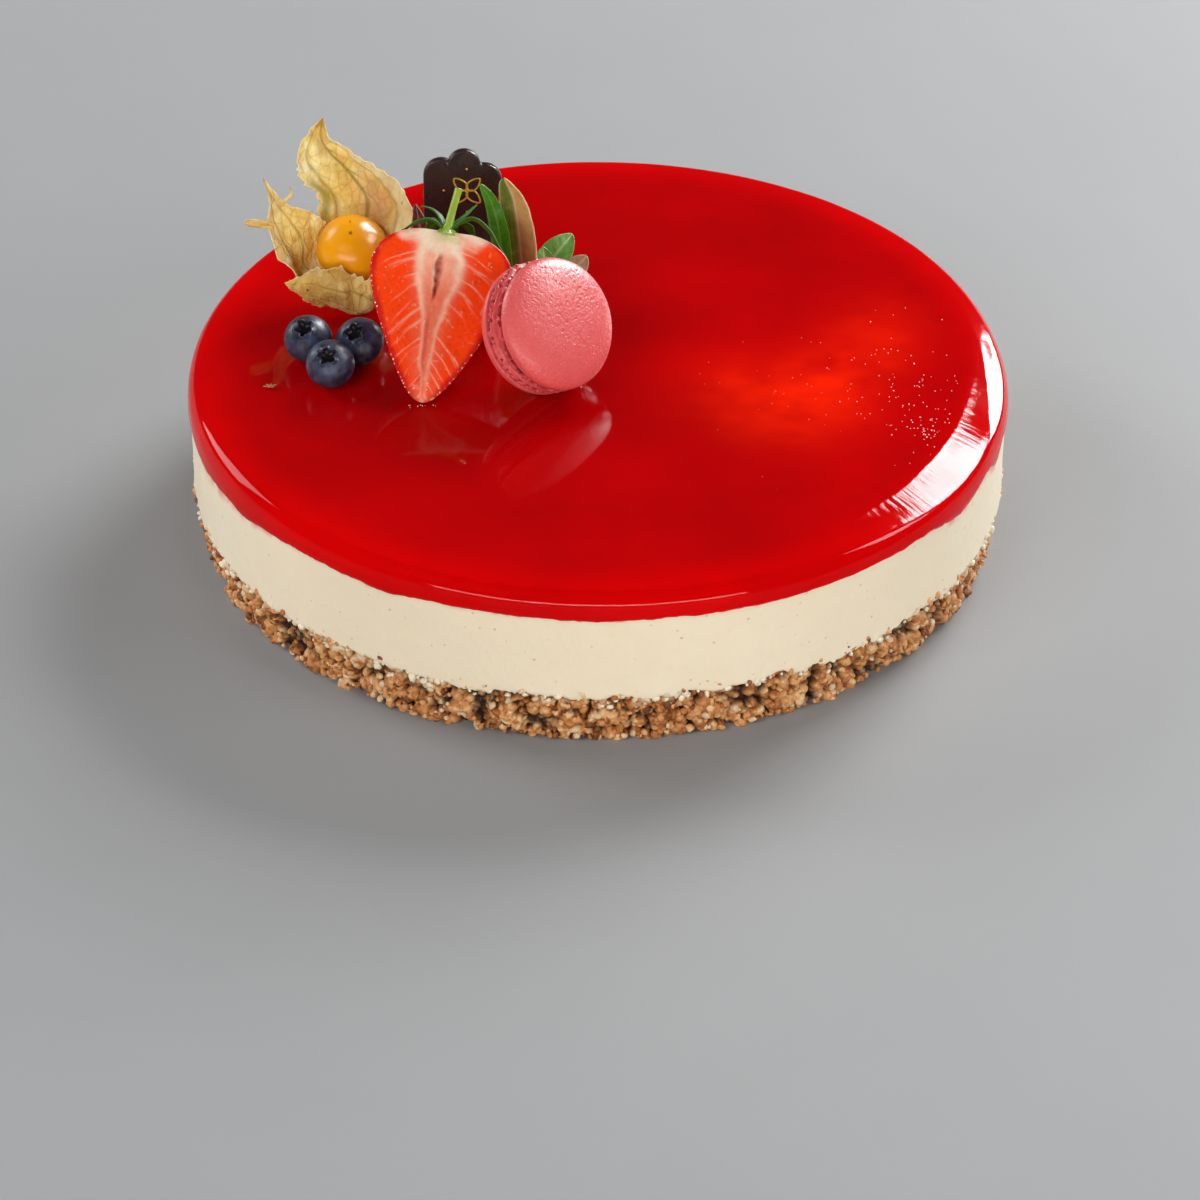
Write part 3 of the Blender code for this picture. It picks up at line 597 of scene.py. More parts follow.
def cream():
    """The cream layer. Its lower edge is ragged where it meets the crumbs."""
    turns = full_turn(1440)
    ring = round_points(CREAM_RADIUS, 0, turns)
    low = SEAM_HEIGHT + 0.9 * noise(ring, 6, 21) + 0.75 * noise(ring, 2.4, 22) + 0.35 * noise(ring, 1.0, 23)
    high = CREAM_TOP - CREAM_FILLET
    rows = [(0, CREAM_TOP), (100, CREAM_TOP)]
    for radius in (103, 106):
        rows.append((radius, CREAM_TOP - rim_fall(radius, turns)))
    for tilt in (90, 60, 30, 0):
        radius = CREAM_RADIUS - CREAM_FILLET * (1 - cos(radians(tilt)))
        height = high + CREAM_FILLET * sin(radians(tilt)) - rim_fall(radius, turns)
        rows.append((radius, height))
    wall_start = len(rows)
    high = high - rim_fall(CREAM_RADIUS, turns)
    for share in np.linspace(0.02, 1, 36):
        rows.append((CREAM_RADIUS, high + (low - high) * share))
    for inset, rise in ((0.25, -0.3), (0.8, -0.5), (1.8, -0.5), (3.5, -0.2), (10, 0.3)):
        rows.append((CREAM_RADIUS - inset, low + rise))
    rows.append((0, SEAM_HEIGHT + 0.3))
    grid = turned(rows, turns)
    wall = slice(wall_start, len(rows) - 3)
    swell = 0.10 * noise(grid[wall], 8, 24) + 0.05 * noise(grid[wall], 2.2, 25)
    grid[wall, :, :2] *= (1 + swell / CREAM_RADIUS)[..., None]
    below = CAKE_HEIGHT - GLAZE_LIP - lip_drop(turns) - grid[..., 2]
    reach = 0.5 + 0.5 * noise(ring, 5, 26) + 0.5 * noise(ring, 1.6, 27)
    for centre, half_width, extra in STAINS:
        reach = reach + extra * near_turn(turns, centre, half_width)
    blot = 0.55 + 0.9 * layered(grid, 2.6, 28)
    stain = np.clip(1 - below / np.maximum(reach, 0.2), 0, 1) * np.clip(blot, 0, 1) * step(-0.5, 0.3, below)
    blush = 0.16 * np.clip(1 - below / 1.5, 0, 1) ** 2 * step(-0.5, 0.3, below)
    stain = np.maximum(0.8 * stain, blush)
    made = grid_piece("cream", grid, LOOKS["cream"], "cream", {"stain": stain}, **POLES)
    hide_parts("cream_layer")
    cream_smears(turns, low)


def cream_smears(turns, low):
    """Flecks of cream that cling to the crumbs under the wall's ragged foot, whose height is low."""
    places, sizes = [], []
    for _ in range(SMEARS):
        column = RANDOM.integers(len(turns))
        radius = CREAM_RADIUS - RANDOM.uniform(0.2, 1.1)
        drop = RANDOM.exponential(0.9)
        places.append((radius * cos(turns[column]), radius * sin(turns[column]), low[column] - drop))
        sizes.append(RANDOM.uniform(0.35, 1.0))
    points, faces = grains(places, sizes, 0.45)
    mesh_piece("cream_smears", points, faces, LOOKS["cream"], "cream", {"stain": np.zeros(len(points))})


# The crumb base

# The wall of crumbs goes up a little past the cream's ragged foot
CRUMB_WALL_TOP = 18.2
CRUMB_COUNT = 11500
# Tone of a crumb, from dark toast to pale nut, and its colour
CRUMB_TONES = (
    (0.0, (0.13, 0.040, 0.009)),
    (0.22, (0.40, 0.13, 0.028)),
    (0.5, (0.60, 0.27, 0.090)),
    (0.75, (0.76, 0.42, 0.18)),
    (0.88, (0.80, 0.56, 0.32)),
    (1.0, (0.66, 0.52, 0.36)),
)
# Bands of loose crumbs: lowest and highest, radius, how many, and the share of them with cream on
CRUMB_BANDS = (
    (15.2, 17.4, 111.0, 420, 0.35),
    (1.0, 2.2, 108.3, 420, 0.0),
    (3, 15, 109.6, 260, 0.1),
)


def crumb_look():
    look = Look("crumbs", 0.55, IOR=1.45)
    tone = look.math("ADD", look.value("tone"), look.span(look.noise(0.9, 3), 0.3, 0.7, -0.16, 0.16))
    # depth paints shade: the grains darken to near black towards the bottom of the clefts between them.
    shaded = look.mix(look.value("depth"), (0.030, 0.009, 0.003), look.ramp(tone, *CRUMB_TONES))
    look.feed("Base Color", look.mix(look.value("milk"), shaded, (0.80, 0.68, 0.50)))
    look.sheen(1.1, 2, 0.35, 0.7)
    look.bump((look.noise(0.45, 3), 0.16))
    return look.material


def crumb_wall(turns, heights):
    """Relief of the crumb wall in mm and its tone: rounded grains of all sizes, heaped in lumps."""
    around = turns * CRUMB_TOP_RADIUS
    pitch = around[1] - around[0]
    drop = heights[0] - heights[1]
    relief = np.full((len(heights), len(turns)), -2.2)
    tone = np.full(relief.shape, 0.1)
    count = CRUMB_COUNT
    at = RANDOM.uniform(0, 2 * pi * CRUMB_TOP_RADIUS, count)
    up = RANDOM.uniform(-0.6, CRUMB_WALL_TOP, count)
    centre = round_points(CRUMB_TOP_RADIUS, up, at / CRUMB_TOP_RADIUS)
    cleft = bell(noise(centre, 6.0, 31), 0.19) + 0.7 * bell(noise(centre, 3.4, 33), 0.13)
    lumps = 0.9 + 0.9 * noise(centre, 4.5, 32) - 3.0 * np.clip(cleft, 0, 1)
    size = RANDOM.uniform(0.45, 1.15, count) * RANDOM.choice((1.0, 1.0, 1.4), count)
    level = lumps + RANDOM.uniform(-0.5, 0.3, count) - 0.5 * size
    shade = 0.47 + 0.27 * RANDOM.normal(size=count) + 0.22 * noise(centre, 5, 34)
    shade = np.clip(shade, 0, 1)
    lean = RANDOM.uniform(0, pi, count)
    slim = RANDOM.uniform(0.6, 1.7, count)
    for k in np.argsort(level):
        half_columns = int(size[k] * 1.4 / pitch) + 1
        half_rows = int(size[k] * 1.4 / drop) + 1
        column = int(round(at[k] / pitch))
        row = int(round((heights[0] - up[k]) / drop))
        rows = np.arange(max(0, row - half_rows), min(len(heights), row + half_rows + 1))
        if not len(rows):
            continue
        columns = np.arange(column - half_columns, column + half_columns + 1)
        u = (columns * pitch - at[k])[None, :]
        v = (heights[rows] - up[k])[:, None]
        a = (u * cos(lean[k]) + v * sin(lean[k])) * slim[k] ** 0.5
        b = (v * cos(lean[k]) - u * sin(lean[k])) / slim[k] ** 0.5
        away = (np.abs(a) ** 2.4 + np.abs(b) ** 2.4) ** (1 / 2.4) / size[k]
        height = level[k] + 1.15 * size[k] * np.sqrt(np.clip(1 - away**2, 0, 1))
        spot = np.ix_(rows, columns % len(turns))
        higher = (away < 1) & (height > relief[spot])
        relief[spot] = np.where(higher, height, relief[spot])
        tone[spot] = np.where(higher, shade[k], tone[spot])
    return np.clip(relief, -2.4, 2.4), tone


def crumbs():
    """The base: a wall of toasted crumbs and nuts, with painted shade in the clefts between them."""
    turns = full_turn(2600)
    heights = np.linspace(CRUMB_WALL_TOP, 0, 68)
    relief, tone = crumb_wall(turns, heights)
    up = heights[:, None]
    wall = CRUMB_FOOT_RADIUS + (CRUMB_TOP_RADIUS - CRUMB_FOOT_RADIUS) * np.clip(up / 15.6, 0, 1)
    radius = wall + relief - 3.0 * step(16.4, CRUMB_WALL_TOP, up)
    inside = CRUMB_FOOT_RADIUS - 6
    shelf = 17.4
    grid = turned([(0, shelf), (inside, shelf), *zip(radius, heights), (inside, 0), (0, 0)], turns)
    wall_rows = slice(2, 2 + len(heights))
    # depth is 0 deep in the clefts and 1 on the grains' tops; the crumb look paints shade by it.
    depth = np.ones(grid.shape[:2])
    depth[wall_rows] = step(-1.8, 0.0, relief)
    tones = np.full(grid.shape[:2], 0.4)
    tones[wall_rows] = tone
    milk = np.zeros(grid.shape[:2])
    ring = round_points(CRUMB_TOP_RADIUS, up, turns)
    milk[wall_rows] = step(-0.05, 0.35, noise(ring, 2.6, 35)) * step(12.2, 15.0, up) * step(-1.2, 0.2, relief)
    values = {"depth": depth, "tone": tones, "milk": milk}
    made = grid_piece("crumb_wall", grid, LOOKS["crumb"], "crumb", values, **POLES)
    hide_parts("crumb_base")


def loose_crumbs():
    """Single crumbs that stand proud of the wall, along the seam and round the foot."""
    places, sizes, milk = [], [], []
    for low, high, out, count, white in CRUMB_BANDS:
        for _ in range(count):
            turn = RANDOM.uniform(0, 2 * pi)
            height = RANDOM.uniform(low, high)
            size = RANDOM.uniform(0.45, 1.0)
            radius = out + RANDOM.uniform(-0.9, 0.7)
            places.append((radius * cos(turn), radius * sin(turn), max(height, size * 1.35)))
            sizes.append(size)
            milk.append(RANDOM.random() < white)
    points, faces = grains(places, sizes, 0.35)
    each = len(points) // len(places)
    values = {
        "tone": np.repeat(np.clip(0.5 + 0.26 * RANDOM.normal(size=len(places)), 0, 1), each),
        "depth": np.ones(len(points)),
        "milk": np.repeat(np.array(milk, float) * 0.8, each),
    }
    mesh_piece("crumb_bits", points, faces, LOOKS["crumb"], "crumb", values)


# The strawberry

BERRY_LENGTH = 48.4
BERRY_HALF_WIDTH = 18.8
BERRY_DEPTH = 0.80
BERRY_DIP = 2.4
BERRY_DIP_RADIUS = 4.6
BERRY_EDGE = 0.7
SEED_COUNT = 150
BERRY_LEAN = radians(42)
BERRY_ROLL = radians(8)
BERRY_PLACE = (-47.9, -21.8)
# Heights over the tip, and how far across the pale bands beside the core are there
BAND_HEIGHTS = (0, 5.5, 11, 17, 22, 29, 34, 40, 45)
BAND_LEFT = (-0.4, -0.6, -2.2, -2.4, -2.7, -4.1, -5.6, -6.0, -5.6)
BAND_RIGHT = (0.2, 0.3, 0.6, 1.1, 1.6, 3.0, 5.2, 5.1, 1.2)
SLIT_HEIGHTS = (27, 29, 32, 38, 41, 43)
SLIT_ACROSS = (-1.5, -1.1, -0.7, -1.3, -0.8, -0.4)
VEIN_SPACING = 3.4

PALE = np.array((0.94, 0.58, 0.42))
CREAMY = np.array((0.88, 0.76, 0.58))
PINK = np.array((0.82, 0.25, 0.15))
ORANGE = np.array((0.98, 0.060, 0.004))
DEEP_RED = np.array((0.58, 0.003, 0.005))
SLIT_SHADE_RED = np.array((0.26, 0.018, 0.016))
LEAFY = np.array((0.50, 0.52, 0.20))
SKIN_RED = np.array((0.62, 0.010, 0.012))
SEED_DENT_SHADE_RED = np.array((0.45, 0.004, 0.008))
SHOULDER_PALE = np.array((0.80, 0.50, 0.36))


def berry_turn():
    """The strawberry's own frame: its right, its back and the way from tip to stalk."""
    upright = Vector((0, sin(BERRY_LEAN), cos(BERRY_LEAN)))
    back = Vector((0, cos(BERRY_LEAN), -sin(BERRY_LEAN)))
    level = Vector((1, 0, 0))
    right = level * cos(BERRY_ROLL) - upright * sin(BERRY_ROLL)
    axis = upright * cos(BERRY_ROLL) + level * sin(BERRY_ROLL)
    return Matrix((right, back, axis)).transposed()


def berry_profile(turn):
    """(radius, height over the tip), from 0 at the tip to pi in the stalk's dip."""
    rise = (1 - np.cos(turn)) / 2
    radius = BERRY_HALF_WIDTH * np.sin(turn) * (0.47 + 0.62 * rise + 0.6 * rise**3)
    dip = BERRY_DIP * bell(radius, BERRY_DIP_RADIUS) * (rise > 0.6)
    return radius, BERRY_LENGTH * rise - dip


def blend(first, last, share):
    return first + (last - first) * share[..., None]


def flesh(across, high, radius):
    """The colour of the cut face and how far it stands out, from mm across and over the tip."""
    places = stack(across, high, 0)
    left = np.interp(high, BAND_HEIGHTS, BAND_LEFT) + 0.25 * noise(places, 4, 41)
    right = np.interp(high, BAND_HEIGHTS, BAND_RIGHT) + 0.25 * noise(places, 4, 42)
    out = np.where(across < (left + right) / 2, left - across, across - right)
    edge = radius - np.abs(across)
    colour = blend(ORANGE, DEEP_RED, 0.9 * step(2.6, 0.4, edge + 0.5 * noise(places, 3, 43)))
    colour = blend(colour, PINK, 0.28 * step(5, 0.5, out) * (1 + 0.4 * noise(places, 2, 44)))

    number = np.where(across < 0, 7, 19)
    slope = 0.30 + 0.75 * step(42, 2, high)
    course = high + slope * out + 0.012 * out**2 + 0.35 * noise(places, 4, 45)
    order = np.floor(course / VEIN_SPACING).astype(np.int64)
    chance = lattice(order, number, order * 0, 46)
    off = (course / VEIN_SPACING - order - 0.5 - 0.25 * chance) * VEIN_SPACING
    length = 5.5 + 5.5 * lattice(order, number, order * 0, 47)
    vein = bell(off, 0.30 + 0.12 * chance) * step(-0.2, 0.8, out) * step(length + 2.5, length - 2, out)
    fork = (course + 0.9 * step(2, 7, out)) / VEIN_SPACING
    off = (fork - np.floor(fork) - 0.5 - 0.25 * chance) * VEIN_SPACING
    vein = np.maximum(vein, 0.6 * bell(off, 0.22) * step(2, 4, out) * step(10, 6, out) * (chance > 0))
    vein = vein * step(0.6, 2.2, edge) * (0.75 + 0.3 * noise(places, 1.6, 48))

    inside = step(0.5, -0.3, out)
    core = 0.55 + 0.25 * noise(places, 1.2, 49) + 0.2 * noise(places, 0.5, 50)
    colour = blend(colour, PINK, inside * (0.45 + 0.35 * core) * step(3, 10, high))
    colour = blend(colour, PALE, inside * step(29, 39, high) * (0.35 + 0.3 * core))
    streak = bell(across - np.interp(high, (4, 12, 20, 28), (-1.0, -1.3, -1.7, -1.2)), 0.75)
    streak = 0.5 * streak * step(3, 6, high) * step(27, 20, high)
    colour = blend(colour, DEEP_RED, streak * (0.8 + 0.3 * core))
    colour = blend(colour, PALE, 0.58 * np.clip(vein, 0, 1))
    width = 0.55 + 0.75 * step(16, 42, high) + 0.2 * noise(places, 2.2, 58)
    bands = np.maximum(bell(across - left, width), bell(across - right, width))
    bands = bands * (0.32 + 0.48 * step(6, 36, high)) * (1 + 0.25 * noise(places, 1.8, 59))
    colour = blend(colour, PALE, bands)

    shoulder = high + noise(places, 3, 51) - 3.2 * step(8, 15, np.abs(across + 1)) + 2.5 * bell(across, 5)
    crown = step(41.5, 45.5, shoulder)
    rays = 0.75 + 0.25 * noise(stack(np.arctan2(across, 49 - high) * 9, high * 0.12, 0), 1.0, 57)
    colour = blend(colour, CREAMY, 0.92 * crown * rays)
    colour = blend(colour, CREAMY, 0.7 * bands * step(34, 42, high))
    colour = blend(colour, LEAFY, 0.7 * step(43.6, 45.6, high) * bell(across - 0.3, 3.2))
    slit_across = np.interp(high, SLIT_HEIGHTS, SLIT_ACROSS) + 0.2 * noise(places, 1.5, 52)
    open_wide = step(27, 31, high) * step(43, 39, high)
    slit = bell(across - slit_across, 0.30 + 0.75 * bell(high - 37, 4.5)) * open_wide
    # Painted shade down in the slit, which is also dented in.
    colour = blend(colour, SLIT_SHADE_RED, np.clip(slit * (0.75 + 0.3 * noise(places, 0.6, 53)), 0, 1))
    lip = bell(across - slit_across + 0.9, 0.35) * open_wide
    colour = blend(colour, CREAMY, 0.65 * lip * step(30, 34, high))
    flecks = step(0.72, 0.85, noise(places, 0.9, 54)) * step(0.8, 2, edge)
    colour = blend(colour, PALE, 0.22 * flecks)
    relief = 0.25 * bands + 0.10 * vein - 1.5 * slit
    relief = relief + 0.05 * layered(places, 0.9, 55) + 0.12 * noise(places, 4, 56)
    return np.clip(colour, 0, 1), relief * step(0, 1.2, edge)


def seed_places(count):
    """Places of the seeds on the rounded skin, in the strawberry's frame, and the skin's way out there."""
    places, ways = [], []
    for k in range(count):
        turn = 0.32 + 2.35 * (k + 0.5) / count
        side = 0.12 + (k * 0.618034 % 1) * (pi - 0.24)
        radius, height = berry_profile(np.array((turn - 0.02, turn, turn + 0.02)))
        out = Vector((height[2] - height[0], 0, radius[0] - radius[2])).normalized()
        way = Vector((out.x * cos(side), out.x * sin(side) / BERRY_DEPTH, out.z)).normalized()
        places.append((radius[1] * cos(side), radius[1] * sin(side) * BERRY_DEPTH, height[1]))
        ways.append(way)
    return np.array(places), ways


def berry_look():
    look = Look("strawberry_flesh", 0.24, IOR=1.40, Specular_IOR_Level=0.35, Subsurface_Weight=0.12,
                Subsurface_Radius=(1.0, 0.25, 0.12), Subsurface_Scale=1.5 * MM)
    grain = look.span(look.noise(1.4, 3), 0.25, 0.75, 0.92, 1.06)
    look.feed("Base Color", look.mix(1.0, look.colours("tint"), grain, "MULTIPLY"))
    look.sheen(2.5, 3, 0.22, 0.45)
    look.bump((look.noise(0.7, 3), 0.05), (look.noise(2.5, 2), 0.12))
    return look.material


def strawberry():
    """Half a strawberry: a cut face with core, slit and veins in front, and a seeded skin behind."""
    radius, high = (v[:, None] for v in berry_profile(np.linspace(pi, 0, 300)))
    shares = np.sin(np.linspace(-pi / 2, pi / 2, 190)) * 0.35 + np.linspace(-1, 1, 190) * 0.65
    across = radius * shares
    tint, relief = flesh(across, np.broadcast_to(high, across.shape), radius)
    edge = np.clip(radius * (1 - np.abs(shares)) / BERRY_EDGE, 0, 1)
    rounding = BERRY_EDGE * (1 - np.sqrt(1 - (1 - edge) ** 2)) * np.clip(radius / 2, 0, 1)
    front = stack(across, rounding - relief, high)
    sides = np.linspace(0, pi, 122)[1:-1]
    rounding = BERRY_EDGE * np.clip(radius / 2, 0, 1) * (1 - np.sin(sides))
    back = stack(radius * np.cos(sides), radius * np.sin(sides) * BERRY_DEPTH + rounding, high)
    seeds, ways = seed_places(SEED_COUNT)
    dent = np.zeros(back.shape[:2])
    for seed in seeds:
        dent = np.maximum(dent, bell(np.linalg.norm(back - seed, axis=-1), 0.75))
    back[..., :2] *= 1 - 0.42 * dent[..., None] / np.maximum(radius, 3)[..., None]
    # The skin is darker in the seed dents: painted shade.
    skin = blend(SKIN_RED, SEED_DENT_SHADE_RED, dent)
    skin = blend(skin, SHOULDER_PALE, 0.75 * step(43.5, 46.5, np.broadcast_to(high, dent.shape)))
    grid = np.concatenate([front, back], axis=1)
    values = {"tint": np.concatenate([tint, skin], axis=1)}
    turn = berry_turn()
    place = (*BERRY_PLACE, lift_to_glaze(moved(grid, turn)))
    made = grid_piece("strawberry", moved(grid, turn, place), berry_look(), "berry", values, **POLES)
    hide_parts("strawberry_half")
    berry_seeds(seeds, ways, turn, place)
    berry_juice(turn, place)
    return turn, Vector(place)


def berry_seeds(seeds, ways, turn, place):
    """A flat seed in each dent of the skin."""
    shape, faces = ball(8, 10)
    parts = []
    for seed, way in zip(seeds, ways):
        lie = way.to_track_quat("Z", "Y").to_matrix()
        flat = moved(shape * (0.45, 0.75, 0.28), lie, Vector(seed) - way * 0.22)
        parts.append((moved(flat, turn, place), faces))
    look = Look("strawberry_seeds", 0.4)
    look.paint(3, 2, (0.62, 0.36, 0.07), (0.72, 0.50, 0.14))
    mesh_piece("strawberry_seeds", *gather(parts), look.material, "berry")


def berry_juice(turn, place):
    """Drops of juice along both edges of the cut face, and some on its flesh."""
    shape, faces = ball(8, 10)
    drops = []
    for side, first, last, count in ((-1, 0.42, 2.35, 26), (1, 0.42, 1.5, 12)):
        for k in range(count):
            turned = first + (last - first) * (k + RANDOM.uniform(0.1, 0.9)) / count
            radius, height = berry_profile(np.array(turned))
            size = RANDOM.uniform(0.10, 0.24)
            spot = (side * (radius - RANDOM.uniform(0.1, 0.5)), RANDOM.uniform(-0.05, 0.25), height)
            drops.append(moved(shape * size * (1, 0.7, 1.3), None, spot))
    for _ in range(22):
        radius, height = berry_profile(np.array(RANDOM.uniform(0.5, 2.3)))
        spot = (radius * RANDOM.uniform(-0.85, 0.85), -0.06, height)
        drops.append(moved(shape * RANDOM.uniform(0.08, 0.18), None, spot))
    parts = [(moved(drop, turn, place), faces) for drop in drops]
    # The drops take the pale juice look, a painted glint.
    mesh_piece("strawberry_juice", *gather(parts), LOOKS["juice"], "berry")


def juice_look():
    """Small drops of juice and grains of sugar, which catch the light; on the juice drops the pale colour is
    a painted glint.
    """
    look = Look("juice", 0.08, IOR=1.40)
    look.paint(2, 2, (0.90, 0.55, 0.45), (0.95, 0.80, 0.72))
    look.bump((look.noise(0.3, 2), 0.05))
    return look.material


# Blades: sepals and leaves

def blade_width(blade, along):
    foot, belly = blade.get("foot", 0.45), blade.get("belly", 0.45)
    if along < belly:
        share = foot + (1 - foot) * sin(0.5 * pi * along / belly)
    else:
        share = max(0.05, cos(0.5 * pi * (along - belly) / (1 - belly)) ** blade.get("point", 0.9))
    return blade["half_width"] * share


def blade_grid(blade, rows, columns):
    """A blade's points: along from its foot to its tip, and across from -1 to 1."""
    spine, side = blade["spine"], Vector(blade["side"])
    grid = np.zeros((rows + 1, columns + 1, 3))
    for i in range(rows + 1):
        along = i / rows
        before, after = (curve_point(spine, min(1, max(0, along + move))) for move in (-0.03, 0.03))
        tangent = (after - before).normalized()
        level = (side - tangent * side.dot(tangent)).normalized()
        half = blade_width(blade, along)
        for j in range(columns + 1):
            across = 2 * j / columns - 1
            rise = half * blade.get("fold", 0.25) * abs(across)
            rise += blade.get("ripple", 0.3) * across * sin(5 * along + 2 * across)
            point = curve_point(spine, along) + level * (across * half) + level.cross(tangent) * rise
            grid[i, j] = point
    return grid


def blade_values(rows, columns):
    along = np.linspace(0, 1, rows + 1)[:, None] + np.zeros(columns + 1)
    across = np.linspace(-1, 1, columns + 1) + np.zeros((rows + 1, 1))
    return along, across


def blade_relief(grid, length, depth, lengthwise):
    """The grid with a groove along its middle, and veins along it or out to its sides."""
    rows, columns = grid.shape[0] - 1, grid.shape[1] - 1
    along, across = blade_values(rows, columns)
    if lengthwise:
        veins = 0.25 * np.cos(2 * pi * 5.5 * across)
    else:
        slant = along * length / 2.2 - 1.1 * np.abs(across)
        veins = np.cos(2 * pi * slant) * np.abs(across) * (1 - np.abs(across))
    relief = depth * (0.9 * veins - 1.2 * bell(across, 0.10)) + 0.12 * noise(grid, 2.5, 61)
    return grid + grid_normals(grid) * relief[..., None], along, across, np.clip(veins * 2, 0, 1)


def leaf_look(name, first, second, rib, rough=0.34):
    """A leaf's two colours, mixed across it, with a paler rib and veins."""
    look = Look(name, rough, IOR=1.42, Specular_IOR_Level=0.35,
                Subsurface_Weight=0.08, Subsurface_Scale=0.8 * MM)
    share = look.math("ADD", look.value("side"), look.span(look.noise(3, 3), 0.3, 0.7, -0.25, 0.25))
    body = look.mix(share, first, second)
    spots = look.span(look.noise(0.8, 4), 0.45, 0.8, 0, 0.5)
    body = look.mix(spots, body, look.mix(0.5, body, (0.04, 0.05, 0.01)))
    look.feed("Base Color", look.mix(look.value("rib"), body, rib))
    look.sheen(1.5, 3, rough - 0.08, rough + 0.14)
    look.bump((look.noise(0.9, 3), 0.06))
    return look.material


def blade_piece(name, blades, look, slot, rows=48, columns=14, thickness=0.4, split=None, reshape=None):
    """One piece of several blades. split gives the share of the second colour across the blade."""
    parts, ribs, sides = [], [], []
    for blade in blades:
        grid = blade_grid(blade, rows, columns)
        length = sum((Vector(b) - Vector(a)).length for a, b in zip(blade["spine"], blade["spine"][1:]))
        grid, along, across, veins = blade_relief(grid, length, 0.10, blade.get("lengthwise"))
        if reshape:
            grid = reshape(grid)
        parts.append(sheet_parts(grid, thickness))
        rim = 0.8 * step(0.86, 1.0, np.abs(across)) * blade.get("rim", 0)
        rib = np.clip(0.75 * bell(across, 0.09) + 0.28 * veins + rim, 0, 1)
        side = split(across, along) if split else 0.5 + 0.2 * noise(grid, 4, 62)
        ribs += [rib.ravel()] * 2
        sides += [side.ravel()] * 2
    values = {"rib": np.concatenate(ribs), "side": np.concatenate(sides)}
    return mesh_piece(name, *gather(parts), look, slot, values)


# Each sepal, from the stalk's foot: degrees round the stalk from the right (90 is the back), reach, rise,
# height of its tip and half width
SEPALS = (
    (176, 12.3, 3.6, -1.4, 1.9),
    (150, 9.5, 6.4, 7.0, 1.7),
    (122, 12.0, 4.8, -0.5, 2.2),
    (88, 14.0, 4.6, -3.0, 2.4),
    (56, 13.0, 5.0, 1.5, 2.0),
    (33, 8.0, 4.8, 9.6, 1.2),
    (5, 17.0, 6.2, -6.4, 2.4),
)
CALYX_LIFT = 1.4
STALK = ((0, 1.2, -0.6), (0.3, 1.2, 3.2), (0.8, 1.3, 7.6), (1.5, 1.5, 12.6))
STALK_RADII = (3.0, 1.9, 1.3, 1.1, 1.0, 1.0, 1.0, 1.1)


def tube_parts(spine, radii, rows=40, columns=20, ridges=0.0):
    """The points and faces of a closed tube along a smooth curve."""
    turns = full_turn(columns)
    grid = [np.repeat(np.array(spine[-1], float)[None], columns, axis=0)]
    for i in range(rows, -1, -1):
        along = i / rows
        before, after = (curve_point(spine, min(1, max(0, along + move))) for move in (-0.02, 0.02))
        turn = facing((after - before) + Vector((0, 0, 1e-6)))
        radius = np.interp(along * (len(radii) - 1), range(len(radii)), radii)
        ring = round_points(radius * (1 + ridges * np.cos(5 * turns)), 0, turns)
        grid.append(moved(ring, turn, curve_point(spine, along)))
    grid.append(np.repeat(np.array(spine[0], float)[None], columns, axis=0))
    return grid_parts(np.array(grid), first_pole=True, last_pole=True)[:2]


def calyx(turn, place):
    """The green crown of the strawberry: sepals that arch out from the foot of its stalk."""
    base = Vector((0, 0, float(berry_profile(np.array(pi))[1]) + CALYX_LIFT))
    steps = np.linspace(pi, 0, 400)
    radii, heights = berry_profile(steps)
    widest = int(np.argmax(radii))

    def on_berry(grid):
        radius = np.hypot(grid[..., 0], grid[..., 1] / BERRY_DEPTH)
        floor = np.interp(radius, radii[:widest], heights[:widest]) - base.z + 0.5
        grid[..., 2] = np.maximum(grid[..., 2], floor)
        return moved(moved(grid, None, base), turn, place)

    up = Vector((0, 0, 1))
    blades = []
    for degrees, reach, rise, tip, half_width in SEPALS:
        out = Vector((cos(radians(degrees)), max(0.12, sin(radians(degrees))), 0))
        foot = Vector((0, 0.7, 0))
        spine = (foot + out * 0.6, foot + out * (0.36 * reach) + up * (0.72 * rise),
                 foot + out * (0.7 * reach) + up * (0.62 * rise + 0.38 * tip), foot + out * reach + up * tip)
        blades.append({"spine": spine, "side": out.cross(up), "half_width": half_width, "ripple": 0.25})
    look = leaf_look("calyx_green", (0.018, 0.085, 0.005), (0.055, 0.18, 0.010), (0.14, 0.32, 0.03), 0.52)
    made = blade_piece("calyx_sepals", blades, look, "calyx", 30, 10, 0.35, reshape=on_berry)
    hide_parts("strawberry_calyx")

    stalk, faces = tube_parts(STALK, STALK_RADII, ridges=0.07)
    button, button_faces = ball(14, 24)
    parts = [(stalk, faces), (moved(button * (2.6, 2.0, 1.1), None, (0, 1.2, 0.3)), button_faces)]
    points, faces = gather(parts)
    look = Look("stalk_green", 0.38, Subsurface_Weight=0.1, Subsurface_Scale=1.0 * MM)
    look.paint(3, 3, (0.17, 0.30, 0.010), (0.40, 0.52, 0.06), look.place((1, 1, 0.3)))
    look.bump((look.noise(0.8, 3, look.place((1, 1, 0.2))), 0.15))
    mesh_piece("calyx_stalk", moved(moved(points, None, base), turn, place), faces, look.material, "calyx")


